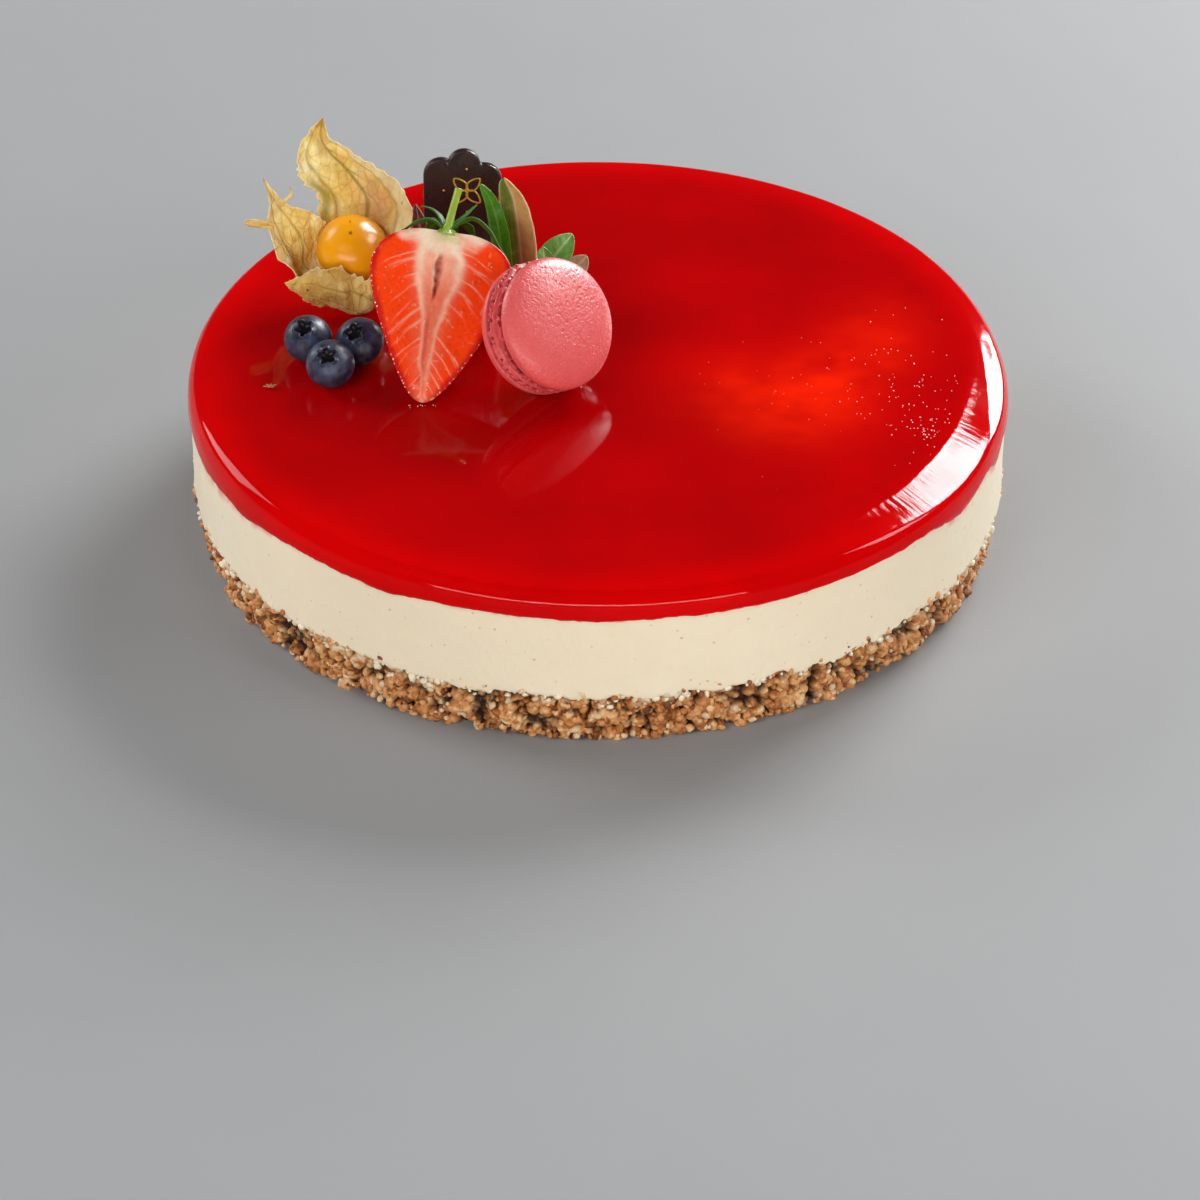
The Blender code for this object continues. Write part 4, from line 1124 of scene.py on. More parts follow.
LEAVES = {
    "leaf_tall": {
        "spine": ((-25.6, 21, 0.6), (-26.2, 21.5, 14), (-27.2, 22, 27), (-29.2, 23, 36.5), (-32.4, 23, 43)),
        "side": (0.9, 0.4, 0), "half_width": 2.7, "fold": 0.30, "foot": 0.8, "point": 0.7, "rim": 1,
    },
    "leaf_strap": {
        "spine": ((-20.6, 27.5, 0.6), (-21.2, 28, 15), (-22, 28, 26), (-23.4, 27.5, 36), (-26, 26.5, 43)),
        "side": (1, -0.2, 0), "half_width": 4.9, "fold": 0.45, "foot": 0.85, "belly": 0.4, "point": 0.55,
        "rim": 1, "lengthwise": True,
    },
    "leaf_small": {
        "spine": ((-18.5, 33.5, 0.6), (-15.6, 35.6, 6.5), (-11.5, 39.5, 11.2), (-7.4, 45, 13.8)),
        "side": (0.75, -0.4, -0.55), "half_width": 4.4, "fold": 0.2, "foot": 0.4, "belly": 0.6,
    },
    "leaf_low": {
        "spine": ((-13, 30, 0.6), (-14, 32, 6), (-15, 34.3, 11), (-15.6, 37, 14.6)),
        "side": (0.85, 0.1, -0.5), "half_width": 3.6, "fold": 0.2, "foot": 0.5, "belly": 0.6,
    },
    "leaf_brown": {
        "spine": ((-12, 36, 1.0), (-9, 39.5, 3.0), (-6, 42.5, 5.0), (-3.4, 45.5, 6.6)),
        "side": (0.7, -0.5, -0.4), "half_width": 3.3, "fold": 0.2, "foot": 0.5, "belly": 0.6,
    },
    "leaf_dark": {
        "spine": ((-48, 27, 0.6), (-48.5, 28, 12), (-49, 29, 23), (-50.4, 30, 32.5)),
        "side": (1, 0.1, 0), "half_width": 2.6, "fold": 0.35, "belly": 0.6, "rim": 1,
    },
}


def off_glaze(grid):
    """The grid, raised where it would reach down into the glaze."""
    return moved(grid, None, (0, 0, max(0, lift_to_glaze(grid) + 0.15)))


def leaves():
    """The six leaves tucked in round the fruit, each over the part's own thin solid."""
    green = leaf_look("leaf_green", (0.015, 0.11, 0.002), (0.055, 0.24, 0.006), (0.12, 0.32, 0.04), 0.34)
    fresh = leaf_look("leaf_fresh", (0.10, 0.27, 0.035), (0.20, 0.42, 0.08), (0.42, 0.60, 0.22), 0.3)
    tan = leaf_look("leaf_tan", (0.10, 0.17, 0.012), (0.62, 0.40, 0.14), (0.78, 0.60, 0.36), 0.5)
    brown = leaf_look("leaf_back", (0.36, 0.18, 0.085), (0.50, 0.29, 0.15), (0.6, 0.43, 0.25), 0.55)
    dark = leaf_look("leaf_dark_red", (0.10, 0.010, 0.012), (0.16, 0.02, 0.02), (0.42, 0.30, 0.26), 0.35)
    looks = {
        "leaf_tall": (green, "leaf_green", None),
        # The strap leaf's left half, the inner face of its fold, is dark olive: partly its own colour, partly
        # painted shade.
        "leaf_strap": (tan, "leaf_brown", lambda across, along: step(-0.12, 0.12, across)),
        "leaf_small": (fresh, "leaf_green", None),
        "leaf_low": (fresh, "leaf_green", None),
        "leaf_brown": (brown, "leaf_brown", None),
        "leaf_dark": (dark, "leaf_dark", None),
    }
    for name, blade in LEAVES.items():
        look, slot, split = looks[name]
        spine = [(x, y, z + CAKE_HEIGHT) for x, y, z in blade["spine"]]
        blades = [{**blade, "spine": spine}]
        made = blade_piece(name + "_fine", blades, look, slot, 70, 24, 0.35, split, off_glaze)
        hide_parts(name)


# The physalis

PHYSALIS_RADIUS = 10.0
PHYSALIS_PLACE = (-68.2, 34.6, 15.2)
PHYSALIS_TIP_WAY = (0.03, -0.40, 0.92)
# The flower's scar and a small dark spot, in the fruit's own frame: across, up and width
PHYSALIS_SCARS = ((-0.6, -1.0, 0.42), (-0.6, 3.2, 0.26))
HUSK_FOOT = (-65.3, 30.2, 4.3)
HUSK_RING = 4.4
HUSK_FLOOR = 0.6
HUSK_CLEARANCE = 1.2
HUSK_THICKNESS = 0.28
HUSK_STALK_END = (-63.4, 27.0, 1.5)
# Each lobe spans the ring between two turns in degrees, and its first and last edges run up to its tip
HUSK_LOBES = (
    {
        "turns": (-25, 140),
        "first": ((-56, 27, 9), (-52.6, 33, 17), (-51.4, 39.5, 24.6), (-56, 46, 31), (-66, 51.5, 35.4),
                  (-74.2, 54.5, 38.6)),
        "last": ((-74, 39, 9), (-78.2, 44.5, 17.5), (-78.2, 47, 25), (-82.6, 47.5, 29.6), (-84.2, 49.5, 35),
                 (-81.6, 53, 40.6)),
        "tip": (-76.6, 56, 45.2), "bulge": (1, 5.5, -1), "ripple": 0.7, "waves": 9,
        "ribs": (0.16, 0.46, 0.80), "torn": 0.05,
    },
    {
        "turns": (140, 205),
        "first": ((-74.6, 36, 6), (-78, 40, 12), (-76.4, 41.6, 18.5), (-79.4, 41, 23), (-86.6, 39.5, 27.6)),
        "last": ((-74.5, 26.8, 5), (-82, 27.3, 9.6), (-88, 30.5, 15), (-91.6, 34.5, 22), (-91.8, 38, 29)),
        "tip": (-92.6, 40, 35), "bulge": (-3.5, 0.5, -2), "ripple": 0.6, "waves": 8,
        "ribs": (0.3, 0.62), "torn": 0.06,
    },
    {
        "turns": (205, 335),
        "first": ((-70.5, 24.2, 1.2), (-76.2, 24.2, 2.2), (-82, 26, 4.8)),
        "last": ((-58.5, 23.3, 9), (-63.5, 22.2, 15), (-71, 22.0, 16.8), (-79, 23.8, 15)),
        "tip": (-87, 28.5, 8.2), "bulge": (2, -3.4, -2.5), "ripple": 0.5, "waves": 7,
        "ribs": (0.35, 0.7), "torn": 0.12, "age": 0.45,
    },
)
HUSK_SLIVERS = (
    {"spine": ((-88.6, 39.5, 26.0), (-86.6, 39, 28.4), (-85.0, 38.5, 30.8), (-85.3, 38, 33.6)),
     "side": (0.6, -0.7, 0.2), "half_width": 0.55, "fold": 0.1, "ripple": 0.1},
    {"spine": ((-90.0, 35.2, 22.6), (-92.6, 34.6, 23.4), (-95.2, 34.2, 24.0), (-97.8, 34, 24.6)),
     "side": (0.1, -0.3, 1), "half_width": 1.5, "fold": 0.2, "ripple": 0.3, "foot": 0.5, "belly": 0.75,
     "point": 0.4},
)


def clear_of_fruit(place):
    out = place - Vector(PHYSALIS_PLACE)
    return place + out * max(0, (PHYSALIS_RADIUS + HUSK_CLEARANCE) / out.length - 1)


def husk_ring(turn):
    way = Vector((cos(radians(turn)), sin(radians(turn)), 0.15))
    return clear_of_fruit(Vector(HUSK_FOOT) + way * HUSK_RING)


def husk_point(lobe, across, along):
    """A point of a lobe: across goes from its first edge to its last, and along from the ring to its tip."""
    turns = lobe["turns"]
    bulge = Vector(lobe["bulge"])
    first = curve_point((husk_ring(turns[0]), *lobe["first"], lobe["tip"]), along)
    last = curve_point((husk_ring(turns[1]), *lobe["last"], lobe["tip"]), along)
    belly = sin(pi * across) * min(1, 3 * along) * (1 - along**3)
    place = first.lerp(last, across) + bulge * belly
    around = husk_ring(turns[0] + (turns[1] - turns[0]) * across)
    place = around.lerp(place, min(1, 5 * along))
    edge = abs(2 * across - 1) * min(1, 4 * along) * (1 - along)
    place += bulge.normalized() * (lobe["ripple"] * edge * sin(lobe["waves"] * along + 5 * across))
    return place


def husk_look():
    look = Look("husk_paper", 0.55, IOR=1.4, Subsurface_Weight=0.2,
                Subsurface_Radius=(1.0, 0.6, 0.25), Subsurface_Scale=1.2 * MM)
    paper = look.ramp(look.noise(6, 4), (0.28, (0.62, 0.36, 0.06)), (0.42, (0.86, 0.60, 0.16)),
                      (0.56, (0.94, 0.74, 0.28)), (0.70, (0.97, 0.88, 0.52)))
    paper = look.mix(look.value("peach"), paper, (0.78, 0.42, 0.20))
    paper = look.mix(look.math("MULTIPLY", look.value("age"), 0.8), paper, (0.50, 0.27, 0.045))
    net = look.node("ShaderNodeTexVoronoi", {"Vector": look.place((1, 1, 0.45)), "Scale": 1 / 2.6},
                    feature="DISTANCE_TO_EDGE")
    net = look.span(net, 0.015, 0.07, 1, 0)
    paper = look.mix(look.math("MULTIPLY", net, 0.20), paper, (0.42, 0.25, 0.05))
    paper = look.mix(look.value("vein"), paper, (0.38, 0.25, 0.035))
    paper = look.mix(look.value("green"), paper, (0.20, 0.22, 0.03))
    fleck = look.specks(5.5, 0.06, 0.11, look.span(look.noise(9, 1), 0.5, 0.6))
    paper = look.mix(look.math("MULTIPLY", fleck, 0.8), paper, (0.10, 0.035, 0.01))
    look.feed("Base Color", look.mix(look.value("rim"), paper, (0.86, 0.74, 0.52)))
    look.sheen(2.0, 3, 0.4, 0.68)
    look.bump((look.noise(1.3, 4, look.place((1, 1, 0.5))), 0.30), (net, 0.12), (look.noise(0.35, 3), 0.05))
    return look.material


def husk_lobe(number, lobe, lift):
    """A lobe's points, with torn edges, creases and a vein along each rib, and its values."""
    rows, columns = 96, 64
    along = np.linspace(0.0, 1, rows + 1)[:, None] + np.zeros(columns + 1)
    share = np.linspace(0, 1, columns + 1) + np.zeros((rows + 1, 1))
    torn = lobe["torn"] * step(0.15, 0.35, along[:, :1])
    edge = stack(along[:, :1] * 40, 0, number * 7.0)
    low = torn * (0.6 * noise(edge, 2.2, 71) + 0.5 * noise(edge, 0.9, 72))
    high = 1 + torn * (0.6 * noise(edge, 2.4, 73) + 0.5 * noise(edge, 0.8, 74))
    across = low + (high - low) * share
    grid = np.zeros((rows + 1, columns + 1, 3))
    for i in range(rows + 1):
        for j in range(columns + 1):
            grid[i, j] = husk_point(lobe, across[i, j], along[i, j])
    normal = grid_normals(grid)
    spread = step(0.02, 0.2, along) * step(1.0, 0.9, along)
    vein = np.zeros(along.shape)
    for rib in lobe["ribs"]:
        off = across - rib - 0.05 * np.sin(3 * along + number) - 0.02 * noise(grid, 5, 75)
        vein = np.maximum(vein, bell(off, 0.012 + 0.012 * (1 - along)))
        fan = (along * 7 + 5 * np.abs(off) + number * 0.3 + rib * 9) % 1 - 0.5
        vein = np.maximum(vein, 0.5 * bell(fan, 0.07) * bell(off, 0.16))
    creases = 0.75 * noise(grid * (1, 1, 0.55), 4.2, 76) + 0.42 * noise(grid * (1, 1, 0.6), 1.9, 77)
    folds = 1.1 * np.abs(noise(grid * (1, 1, 0.4), 6, 78)) + 0.8 * np.abs(noise(grid * (1, 1, 0.5), 3.4, 65))
    relief = spread * (creases + folds - 0.25 + 0.28 * vein)
    grid = grid + normal * relief[..., None]
    out = grid - np.array(PHYSALIS_PLACE)
    length = np.linalg.norm(out, axis=-1, keepdims=True)
    grid = grid + out * np.maximum(0, (PHYSALIS_RADIUS + HUSK_CLEARANCE) / length - 1)
    grid[..., 2] = np.maximum(grid[..., 2], HUSK_FLOOR - 0.2)
    grid = moved(grid, None, (0, 0, lift))
    return grid, lobe_values(lobe, grid, along, across, share, vein, spread)


def lobe_values(lobe, grid, along, across, share, vein, spread):
    """Where a lobe is veined, aged, pale at its rim, peach or green."""
    rim = step(0.03, 0.0, np.minimum(share, 1 - share)) * spread
    age = 0.9 * layered(grid, 7, 79) - 0.15 + lobe.get("age", 0) + 0.5 * step(0.25, 0.0, along)
    age = np.maximum(np.clip(age, 0, 0.85), 0.7 * step(0.93, 1.0, along))
    peach = np.zeros(along.shape)
    green = np.zeros(along.shape)
    if lobe is HUSK_LOBES[0]:
        ragged = across + 0.02 * noise(grid, 2, 63)
        rim = np.maximum(rim, 0.75 * step(0.22, 0.16, ragged) * step(0.95, 0.8, along))
        peach = 0.8 * bell(across - 0.40, 0.17) * bell(along - 0.40, 0.18)
        green = 0.85 * vein * bell(across - 0.46, 0.06) * step(0.92, 0.8, along)
        side = 0.75 * bell(across - 0.93, 0.05) * step(0.25, 0.35, along) * step(0.62, 0.5, along)
        green = np.maximum(green, side)
        green = np.maximum(green, 0.6 * bell(across - 0.42, 0.05) * step(0.86, 0.92, along))
    return {"vein": 0.75 * vein * spread, "age": age, "rim": 0.6 * rim, "peach": peach, "green": green}


def husk(lift):
    """The papery husk: three creased, veined lobes, two slivers, and the stub of its stalk."""
    sheets = [husk_lobe(number, lobe, lift) for number, lobe in enumerate(HUSK_LOBES)]
    for sliver in HUSK_SLIVERS:
        grid = moved(blade_grid(sliver, 24, 8), None, (0, 0, lift))
        sheets.append((grid, {"age": np.full(grid.shape[:2], 0.35)}))
    fruit = Vector(PHYSALIS_PLACE)
    way = (fruit - Vector(HUSK_FOOT)).normalized()
    route = (fruit - way * (PHYSALIS_RADIUS + GAP), HUSK_FOOT, HUSK_STALK_END)
    route = [Vector(place) + Vector((0, 0, lift)) for place in route]
    stalk, faces = tube_parts(route, (1.2, 1.2, 1.3), 16, 14, 0.06)
    points, faces = gather([sheet_parts(grid, HUSK_THICKNESS) for grid, _ in sheets] + [(stalk, faces)])
    values = {}
    for key in ("vein", "age", "rim", "peach", "green"):
        fields = [known.get(key, np.zeros(grid.shape[:2])).ravel() for grid, known in sheets]
        both_sides = [field for field in fields for _ in range(2)]
        values[key] = np.concatenate([*both_sides, np.full(len(stalk), 0.5 if key == "age" else 0.0)])
    made = mesh_piece("husk", points, faces, husk_look(), "husk", values)
    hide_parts("physalis_husk")


def physalis():
    """The orange fruit with its dark flower scar, and its husk."""
    look = Look("physalis_skin", 0.28, IOR=1.44, Subsurface_Weight=0.15,
                Subsurface_Radius=(1.0, 0.4, 0.05), Subsurface_Scale=2.0 * MM)
    skin = look.mix(look.noise(7, 3), (0.99, 0.36, 0.002), (1.0, 0.44, 0.004))
    look.feed("Base Color", look.mix(look.value("scar"), skin, (0.06, 0.012, 0.004)))
    look.bump((look.noise(5, 2), 0.10), (look.noise(0.7, 2), 0.012))
    turns = full_turn(120)
    tilt = np.linspace(0, pi, 80)[:, None]
    flat = round_points(PHYSALIS_RADIUS * np.sin(tilt), 0, turns)
    scars = [bell(np.hypot(flat[..., 0] - x, flat[..., 1] - y), width) for x, y, width in PHYSALIS_SCARS]
    scar = np.maximum(*scars) * (tilt < 1)
    radius = PHYSALIS_RADIUS - 0.25 * scar + 0.05 * np.cos(8 * turns) * np.sin(tilt)
    grid = round_points(radius * np.sin(tilt), 0.97 * radius * np.cos(tilt), turns)
    grid = moved(grid, facing(PHYSALIS_TIP_WAY))
    low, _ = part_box("physalis_berry")
    centre = low.z / MM - grid[..., 2].min()
    grid = moved(grid, None, (PHYSALIS_PLACE[0], PHYSALIS_PLACE[1], centre))
    values = {"scar": np.clip(scar * 1.2, 0, 1)}
    made = grid_piece("physalis", grid, look.material, "physalis", values, **POLES)
    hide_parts("physalis_berry")
    husk(centre - PHYSALIS_PLACE[2])


# Blueberries

BLUEBERRY_RADIUS = 6.7
BLUEBERRY_CROWN = 2.5
BLUEBERRY_FLATNESS = 0.90
BLUEBERRIES = (
    # x, y, and the way the crown faces
    (-79.4, 1.7, (-0.16, -0.46, 0.87)),
    (-65.2, 0.4, (-0.24, -0.53, 0.81)),
    (-72.8, -11.2, (-0.12, -0.58, 0.80)),
)


def blueberry_look():
    look = Look("blueberry_skin", 0.42, IOR=1.42)
    bloom = look.span(look.noise(3.6, 4), 0.38, 0.66, 0.0, 0.85)
    skin = look.mix(bloom, (0.008, 0.010, 0.024), (0.060, 0.080, 0.150))
    look.feed("Base Color", look.mix(look.value("pit"), skin, (0.010, 0.007, 0.009)))
    look.sheen(3, 3, 0.28, 0.55)
    look.bump((look.noise(0.7, 3), 0.03), (look.noise(3, 2), 0.12))
    return look.material


def blueberries():
    """Three round berries, each with a star-shaped crown round a dark pit."""
    turns = full_turn(130)
    height = BLUEBERRY_FLATNESS * BLUEBERRY_RADIUS
    look = blueberry_look()
    for number, (x, y, crown_way) in enumerate(BLUEBERRIES, 1):
        star = np.cos(5 * turns + number)
        ragged = 1 + 0.10 * noise(round_points(BLUEBERRY_CROWN, 0, turns), 0.8, 80 + number)
        crown = BLUEBERRY_CROWN * (0.92 + 0.16 * star) * ragged
        rows = [(0, 0.70 * height)]
        pit = [np.ones(len(turns))]
        for share, level, dark in ((0.30, 0.70, 1), (0.62, 0.72, 1), (0.82, 0.80, 0.9), (0.94, 0.93, 0.5)):
            rows.append((share * crown, level * height))
            pit.append(np.full(len(turns), dark, float))
        for share, rise in ((1.0, 0.045), (1.07, 0.04), (1.16, 0.01)):
            rows.append((share * crown, (0.965 + rise * (1 + star)) * height))
            pit.append(np.full(len(turns), 0.25 * (1 - rise * 10), float))
        for tilt in map(radians, np.linspace(61, -90, 60)):
            rows.append((BLUEBERRY_RADIUS * cos(tilt), height * sin(tilt)))
            pit.append(np.zeros(len(turns)))
        grid = turned(rows, turns)
        grid = grid * (1 + 0.012 * noise(grid, 5, 90 + number))[..., None]
        grid = moved(grid, facing(crown_way), (x, y, 0))
        grid = moved(grid, None, (0, 0, lift_to_glaze(grid)))
        values = {"pit": np.array(pit)}
        made = grid_piece(f"blueberry_{number}_fine", grid, look, "blueberry", values, **POLES)
        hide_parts(f"blueberry_{number}")


# The macaron

MACARON_RADIUS = 18.4
MACARON_DOME = 6.0
MACARON_FOOT = 3.2
MACARON_FILLING = 1.0
MACARON_WAY = (0.602, -0.587, 0.541)
MACARON_PLACE = (-13.9, -10.3)
# Rows of holes in each foot: height as a share of the foot, spread in mm, how many, least and greatest size
FOOT_HOLES = ((0.72, 0.30, 56, 0.60, 1.45), (0.35, 0.5, 80, 0.2, 0.5))


def macaron_look():
    look = Look("macaron_shell", 0.40, IOR=1.42, Coat_Weight=0.16, Coat_Roughness=0.26, Subsurface_Weight=0.1,
                Subsurface_Radius=(1.0, 0.4, 0.3), Subsurface_Scale=1.0 * MM)
    shell = look.mix(look.noise(8, 3), (0.71, 0.095, 0.098), (0.77, 0.125, 0.126))
    shell = look.mix(look.value("frill"), shell, (0.66, 0.055, 0.065))
    # Painted shade darkens the holes in the foot and the pores of the dome.
    look.feed("Base Color", look.mix(look.value("hole_shade"), shell, (0.11, 0.006, 0.008)))
    look.sheen(1.6, 4, 0.26, 0.46)
    pits = look.specks(1.5, 0.10, 0.20, look.span(look.noise(5, 2), 0.4, 0.6))
    pitted = look.math("SUBTRACT", 1.0, pits)
    look.bump((look.noise(1.0, 3), 0.34), (look.noise(3.2, 3), 0.14), (pitted, 0.14))
    return look.material


def macaron_shell(seed, pores):
    """A shell's points from the crown of its dome to its flat side, with its frill and the painted shade of
    its holes and pores as values.
    """
    turns = full_turn(520)
    radius, foot = MACARON_RADIUS, MACARON_FOOT
    rows = []
    for tilt in np.linspace(0, 90, 84):
        t = radians(tilt)
        rows.append((0.985 * radius * sin(t), foot + MACARON_DOME * max(0, cos(t)) ** 0.8))
    for share, drop in ((0.982, 0.25), (0.972, 0.42), (0.955, 0.5)):
        rows.append((share * radius, foot - drop))
    dome_rows = len(rows)
    shares = np.linspace(0, 1, 34)
    for share in shares:
        ring = 0.945 + 0.045 * sin(pi * min(1, 1.15 * share)) ** 0.7
        rows.append((ring * radius, (foot - 0.55) * (1 - share)))
    rows.append((0.85 * radius, 0))
    rows.append((0, 0))
    grid = turned(rows, turns)
    band = np.zeros(grid.shape[:2])
    band[dome_rows:-2] = (np.sin(pi * np.clip(shares, 0, 1)) ** 0.5)[:, None]
    bubbles = 0.30 * noise(grid, 1.5, seed) + 0.20 * noise(grid, 0.7, seed + 1)
    holes = np.zeros(grid.shape[:2])
    for share, spread, count, least, most in FOOT_HOLES:
        for turn in (np.arange(count) + RANDOM.uniform(-0.4, 0.4, count)) * 2 * pi / count:
            along = (turns - turn + pi) % (2 * pi) - pi
            width = RANDOM.uniform(least, most)
            off = grid[..., 2] - foot * share - RANDOM.uniform(-spread, spread)
            away = np.hypot(along * radius / (1.25 * width), off / (0.8 * width))
            holes = np.maximum(holes, step(1.15, 0.7, away))
    holes = holes * band * (grid[..., 2] < foot - 0.3)
    size = np.maximum(np.hypot(grid[..., 0], grid[..., 1]), 1)
    grid[..., :2] *= (1 + (band * bubbles - 1.7 * holes) / size)[..., None]
    wave = np.zeros(grid.shape[:2])
    wave[:dome_rows] = 0.10 * noise(grid[:dome_rows], 9, seed + 5)
    dents = np.zeros(grid.shape[:2])
    for x, y, width in pores:
        dent = bell(np.hypot(grid[..., 0] - x, grid[..., 1] - y), width)
        dents = np.maximum(dents, dent * (grid[..., 2] > foot))
    grid[..., 2] += wave - 0.30 * dents
    # The holes and pores carry painted shade.
    return grid, {"frill": 0.8 * band, "hole_shade": np.clip(holes * 1.1 + 0.22 * dents, 0, 1)}


def macaron():
    """Two almond shells with bubbly feet and a thin filling, leaning back on their edge."""
    turn = facing(MACARON_WAY)
    out = MACARON_FILLING / 2 + GAP
    normal, uniform = RANDOM.normal, RANDOM.uniform
    pores = [(normal(5, 4.2), normal(4, 4.2), uniform(0.14, 0.30)) for _ in range(34)]
    pores += [(uniform(-13, 13), uniform(-13, 13), uniform(0.12, 0.22)) for _ in range(40)]
    front, front_values = macaron_shell(100, pores)
    back, back_values = macaron_shell(120, pores[-12:])
    front = moved(moved(front, None, (0, 0, out)), turn)
    back = moved(moved(back, None, (0, 0, out)), turn @ Matrix.Rotation(pi, 3, "X"))
    filling = moved(macaron_filling(), turn)
    place = (*MACARON_PLACE, lift_to_glaze(front, back, filling))
    look = macaron_look()
    made = grid_piece("macaron_front", moved(front, None, place), look, "macaron", front_values, **POLES)
    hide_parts("macaron_shell_front")
    made = grid_piece("macaron_back", moved(back, None, place), look, "macaron", back_values, **POLES)
    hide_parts("macaron_shell_back")
    look = Look("macaron_cream", 0.35)
    look.paint(2, 3, (0.50, 0.035, 0.045), (0.70, 0.09, 0.10))
    look.bump((look.noise(1.2, 3), 0.2))
    made = grid_piece("macaron_cream", moved(filling, None, place), look.material, "filling", {}, **POLES)
    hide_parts("macaron_filling")


def macaron_filling():
    """The filling's points: a thin disc with a soft, uneven edge."""
    turns = full_turn(360)
    radius = 0.905 * MACARON_RADIUS
    half = MACARON_FILLING / 2 + 0.2
    ring = radius + 0.35 * noise(round_points(radius, 0, turns), 1.8, 140)
    rows = [(0, half), (0.97 * ring, half)]
    for t in np.linspace(0.2, pi - 0.2, 9):
        rows.append((ring * (0.97 + 0.04 * sin(t)), half * cos(t)))
    rows += [(0.97 * ring, -half), (0, -half)]
    return turned(rows, turns)


# The plaque

PLAQUE_WIDTH = 21.7
PLAQUE_HEIGHT = 41.9
PLAQUE_THICKNESS = 2.2
PLAQUE_PLACE = (-37.7, 38.0)
PLAQUE_LEAN = radians(8)
PLAQUE_EDGE = 0.45


def plaque_outline(steps):
    """The plaque's outline: a straight foot and sides, and three scallops along the top."""
    half, tall = PLAQUE_WIDTH / 2, PLAQUE_HEIGHT
    scallops = (
        # Centre across, centre height, radius, first and last degrees
        (half - 4.9, tall - 9.0, 4.9, -35, 98),
        (0.4, tall - 4.6, 4.6, 12, 165),
        (5.0 - half, tall - 7.6, 5.0, 70, 180),
    )
    points = [(-half, 0, 0), (half - 1.2, 0, 0)]
    for across, height, radius, first, last in scallops:
        for i in range(steps + 1):
            turn = radians(first + (last - first) * i / steps)
            points.append((across + radius * cos(turn), height + radius * sin(turn), 0))
    return points


def curve_piece(name, lines, place, turn, look, slot, **settings):
    """A piece from closed curves through points in mm in the piece's own frame."""
    curve = bpy.data.curves.new(name, "CURVE")
    for key, value in settings.items():
        setattr(curve, key, value)
    for points in lines:
        line = curve.splines.new("POLY")
        line.points.add(len(points) - 1)
        line.use_cyclic_u = True
        for spot, point in zip(line.points, points):
            spot.co = (*(c * MM for c in point), 1)
    curve.materials.append(look)
    made = bpy.data.objects.new(name, curve)
    made.matrix_world = Matrix.Translation(Vector(place) * MM) @ turn.to_4x4()
    bpy.context.scene.collection.objects.link(made)
    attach(made, "root")
    return made


def plaque():
    """A thin dark chocolate plaque with a small gold four-petalled ornament."""
    look = Look("dark_chocolate", 0.26, IOR=1.46)
    look.paint(9, 3, (0.020, 0.0085, 0.0085), (0.040, 0.019, 0.018))
    look.sheen(5, 3, 0.18, 0.36)
    look.bump((look.noise(8, 2), 0.12), (look.noise(1.2, 3), 0.012))
    turn = Matrix.Rotation(pi / 2 - PLAQUE_LEAN, 3, "X")
    low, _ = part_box("chocolate_plaque")
    place = (*PLAQUE_PLACE, low.z / MM + PLAQUE_THICKNESS / 2 * sin(PLAQUE_LEAN))
    made = curve_piece("plaque", [plaque_outline(24)], place, turn, look.material, "chocolate",
                       dimensions="2D", fill_mode="BOTH", extrude=(PLAQUE_THICKNESS / 2 - PLAQUE_EDGE) * MM,
                       bevel_depth=PLAQUE_EDGE * MM, bevel_resolution=3, offset=-PLAQUE_EDGE * MM)
    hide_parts("chocolate_plaque")
    ornament(place, turn)


def ornament(place, turn):
    """Four petals drawn in gold, with a dot between each two and one in the middle."""
    gold = Look("gold_paint", 0.3, Metallic=0.55)
    gold.paint(2, 3, (0.80, 0.42, 0.03), (0.95, 0.62, 0.10))
    gold.bump((gold.noise(0.8, 2), 0.05))
    middle = (1.2, 30.0)
    face = PLAQUE_THICKNESS / 2 + 0.02
    petals = []
    for lean in (radians(45 + 90 * quarter) for quarter in range(4)):
        petal = []
        for t in full_turn(28):
            reach = 2.7 + 2.3 * cos(t)
            side = 1.35 * sin(t) * (1 - 0.35 * cos(t))
            across = middle[0] + reach * cos(lean) - side * sin(lean)
            petal.append((across, middle[1] + reach * sin(lean) + side * cos(lean), face))
        petals.append(petal)
    curve_piece("plaque_ornament", petals, place, turn, gold.material, "chocolate", dimensions="3D",
                bevel_depth=0.26 * MM, bevel_resolution=3)
    shape, faces = ball(8, 12)
    parts = []
    for t in (0, pi / 2, pi, 3 * pi / 2):
        dot = (middle[0] + 6.4 * cos(t), middle[1] + 6.4 * sin(t), face - 0.2)
        parts.append((moved(shape * (0.45, 0.45, 0.3), None, dot), faces))
    parts.append((moved(shape * (0.6, 0.6, 0.35), None, (*middle, face - 0.2)), faces))
    points, faces = gather(parts)
    mesh_piece("plaque_dots", moved(points, turn, place), faces, gold.material, "chocolate")


# Small things on the glaze

def sprinkle(name, spots, sizes, look, slot, roughness=0.3):
    """Small grains or bubbles that sit on the glaze at these x, y places."""
    places = [(x, y, CAKE_HEIGHT + size * 0.5) for (x, y), size in zip(spots, sizes)]
    mesh_piece(name, *grains(places, sizes, roughness, 5, 7), look, slot)


# Where bubbles gather: x, its spread, y, its spread, how many, and their least and greatest radius
BUBBLES = (
    (84, 9, -16, 17, 95, 0.09, 0.17),
    (89, 2.2, -33, 3.0, 34, 0.10, 0.18),
    (60, 18, -10, 18, 45, 0.06, 0.11),
)


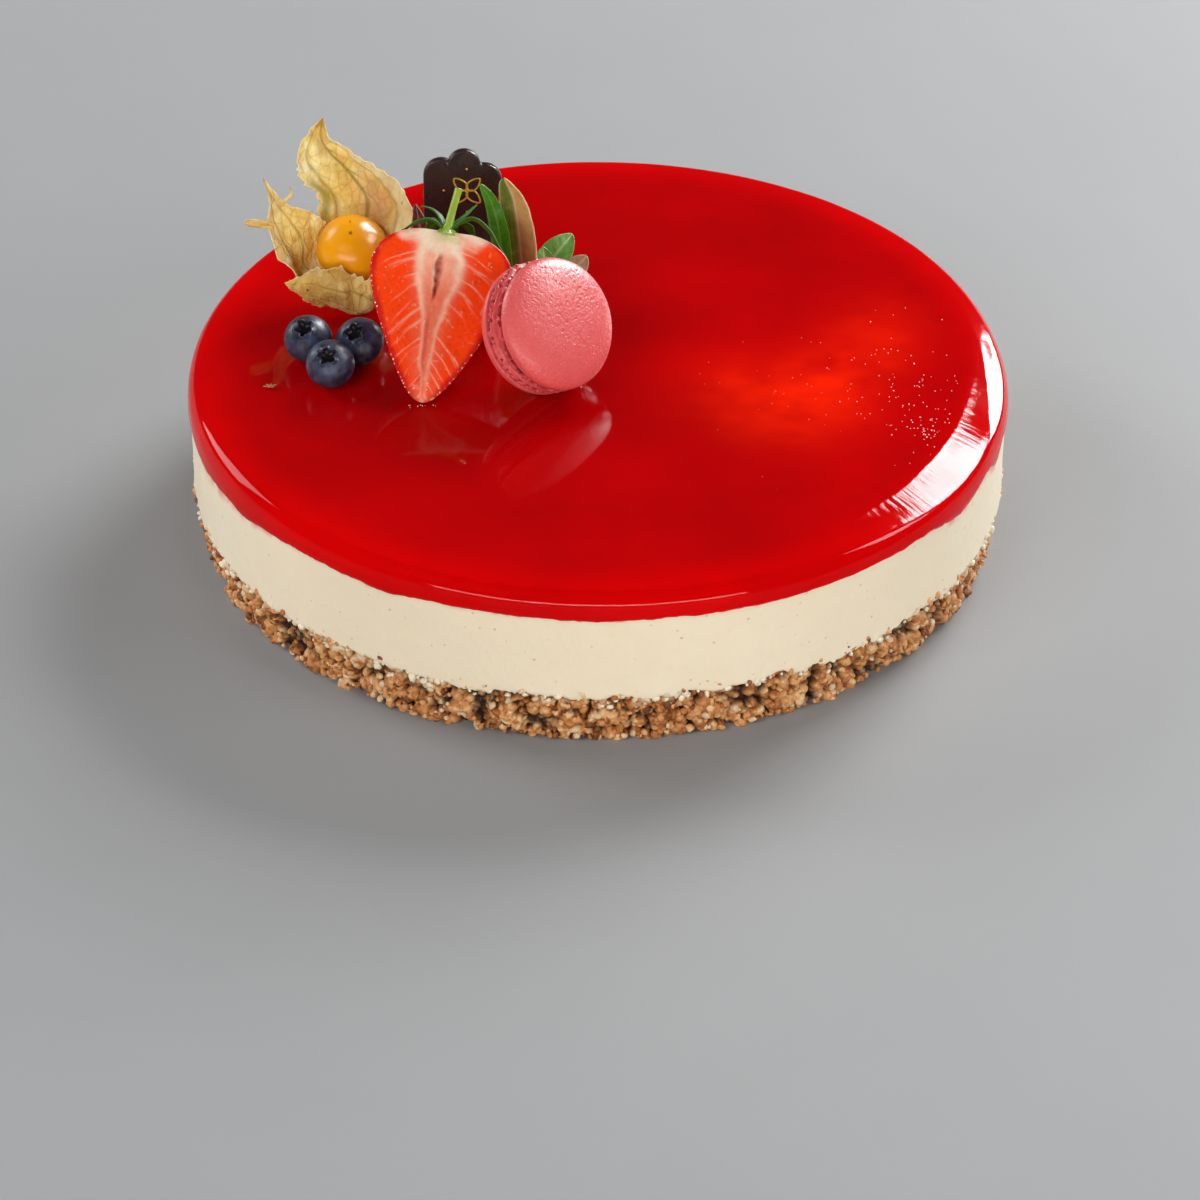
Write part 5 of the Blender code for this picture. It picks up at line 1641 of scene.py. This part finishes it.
def bubbles():
    """Fine bubbles in the glaze, painted pale as glints."""
    look = Look("bubble_painted_glint", 0.3)
    # The pale pink-white colour is a painted glint on each of the bubbles.
    look.paint(1, 2, (1.0, 0.45, 0.45), (1.0, 0.88, 0.88))
    spots, sizes = [], []
    for x, spread_x, y, spread_y, count, least, most in BUBBLES:
        for _ in range(count):
            spot = (RANDOM.normal(x, spread_x), RANDOM.normal(y, spread_y))
            if math.hypot(*spot) < 101:
                spots.append(spot)
                sizes.append(RANDOM.uniform(least, most))
    sprinkle("glaze_bubbles", spots, sizes, look.material, "glaze")


def sugar():
    """Grains of sugar round the foot of the macaron and at the strawberry's tip."""
    spots, sizes = [], []
    for _ in range(26):
        turn = radians(RANDOM.uniform(-150, 10))
        radius = RANDOM.uniform(7.5, 11)
        spots.append((-11 + radius * cos(turn), -5.5 + 0.9 * radius * sin(turn)))
        sizes.append(RANDOM.uniform(0.10, 0.30))
    for _ in range(9):
        spots.append((RANDOM.normal(-48, 2.0), RANDOM.normal(-22.0, 0.5)))
        sizes.append(RANDOM.uniform(0.08, 0.18))
    sprinkle("sugar", spots, sizes, LOOKS["juice"], "glaze", 0.45)


def flake():
    """A dried flake of petal beside the blueberries: six thin blades from one point."""
    look = Look("dried_flake", 0.6)
    look.paint(0.8, 3, (0.35, 0.06, 0.02), (0.62, 0.22, 0.09))
    look.bump((look.noise(0.4, 3), 0.05))
    start = Vector((-89.3, -13.2, CAKE_HEIGHT + 0.35))
    up = Vector((0, 0, 1))
    parts = []
    for turn, length in ((20, 1.9), (75, 1.1), (140, 1.4), (188, 2.0), (250, 1.0), (320, 1.3)):
        way = Vector((cos(radians(turn)), sin(radians(turn)), 0))
        spine = (start, start + way * length * 0.5 + up * 0.2, start + way * length + up * 0.35)
        blade = {"spine": spine, "side": way.cross(up), "half_width": 0.28, "ripple": 0.05}
        parts.append(sheet_parts(blade_grid(blade, 8, 4), 0.16))
    mesh_piece("flake", *gather(parts), look.material, "leaf_brown")


# Everything, in the order of the random draws

LOOKS = {"cream": cream_look(), "crumb": crumb_look(), "juice": juice_look()}

camera()
studio()
glaze()
cream()
crumbs()
loose_crumbs()
berry_frame = strawberry()
calyx(*berry_frame)
leaves()
physalis()
blueberries()
macaron()
plaque()
bubbles()
sugar()
flake()
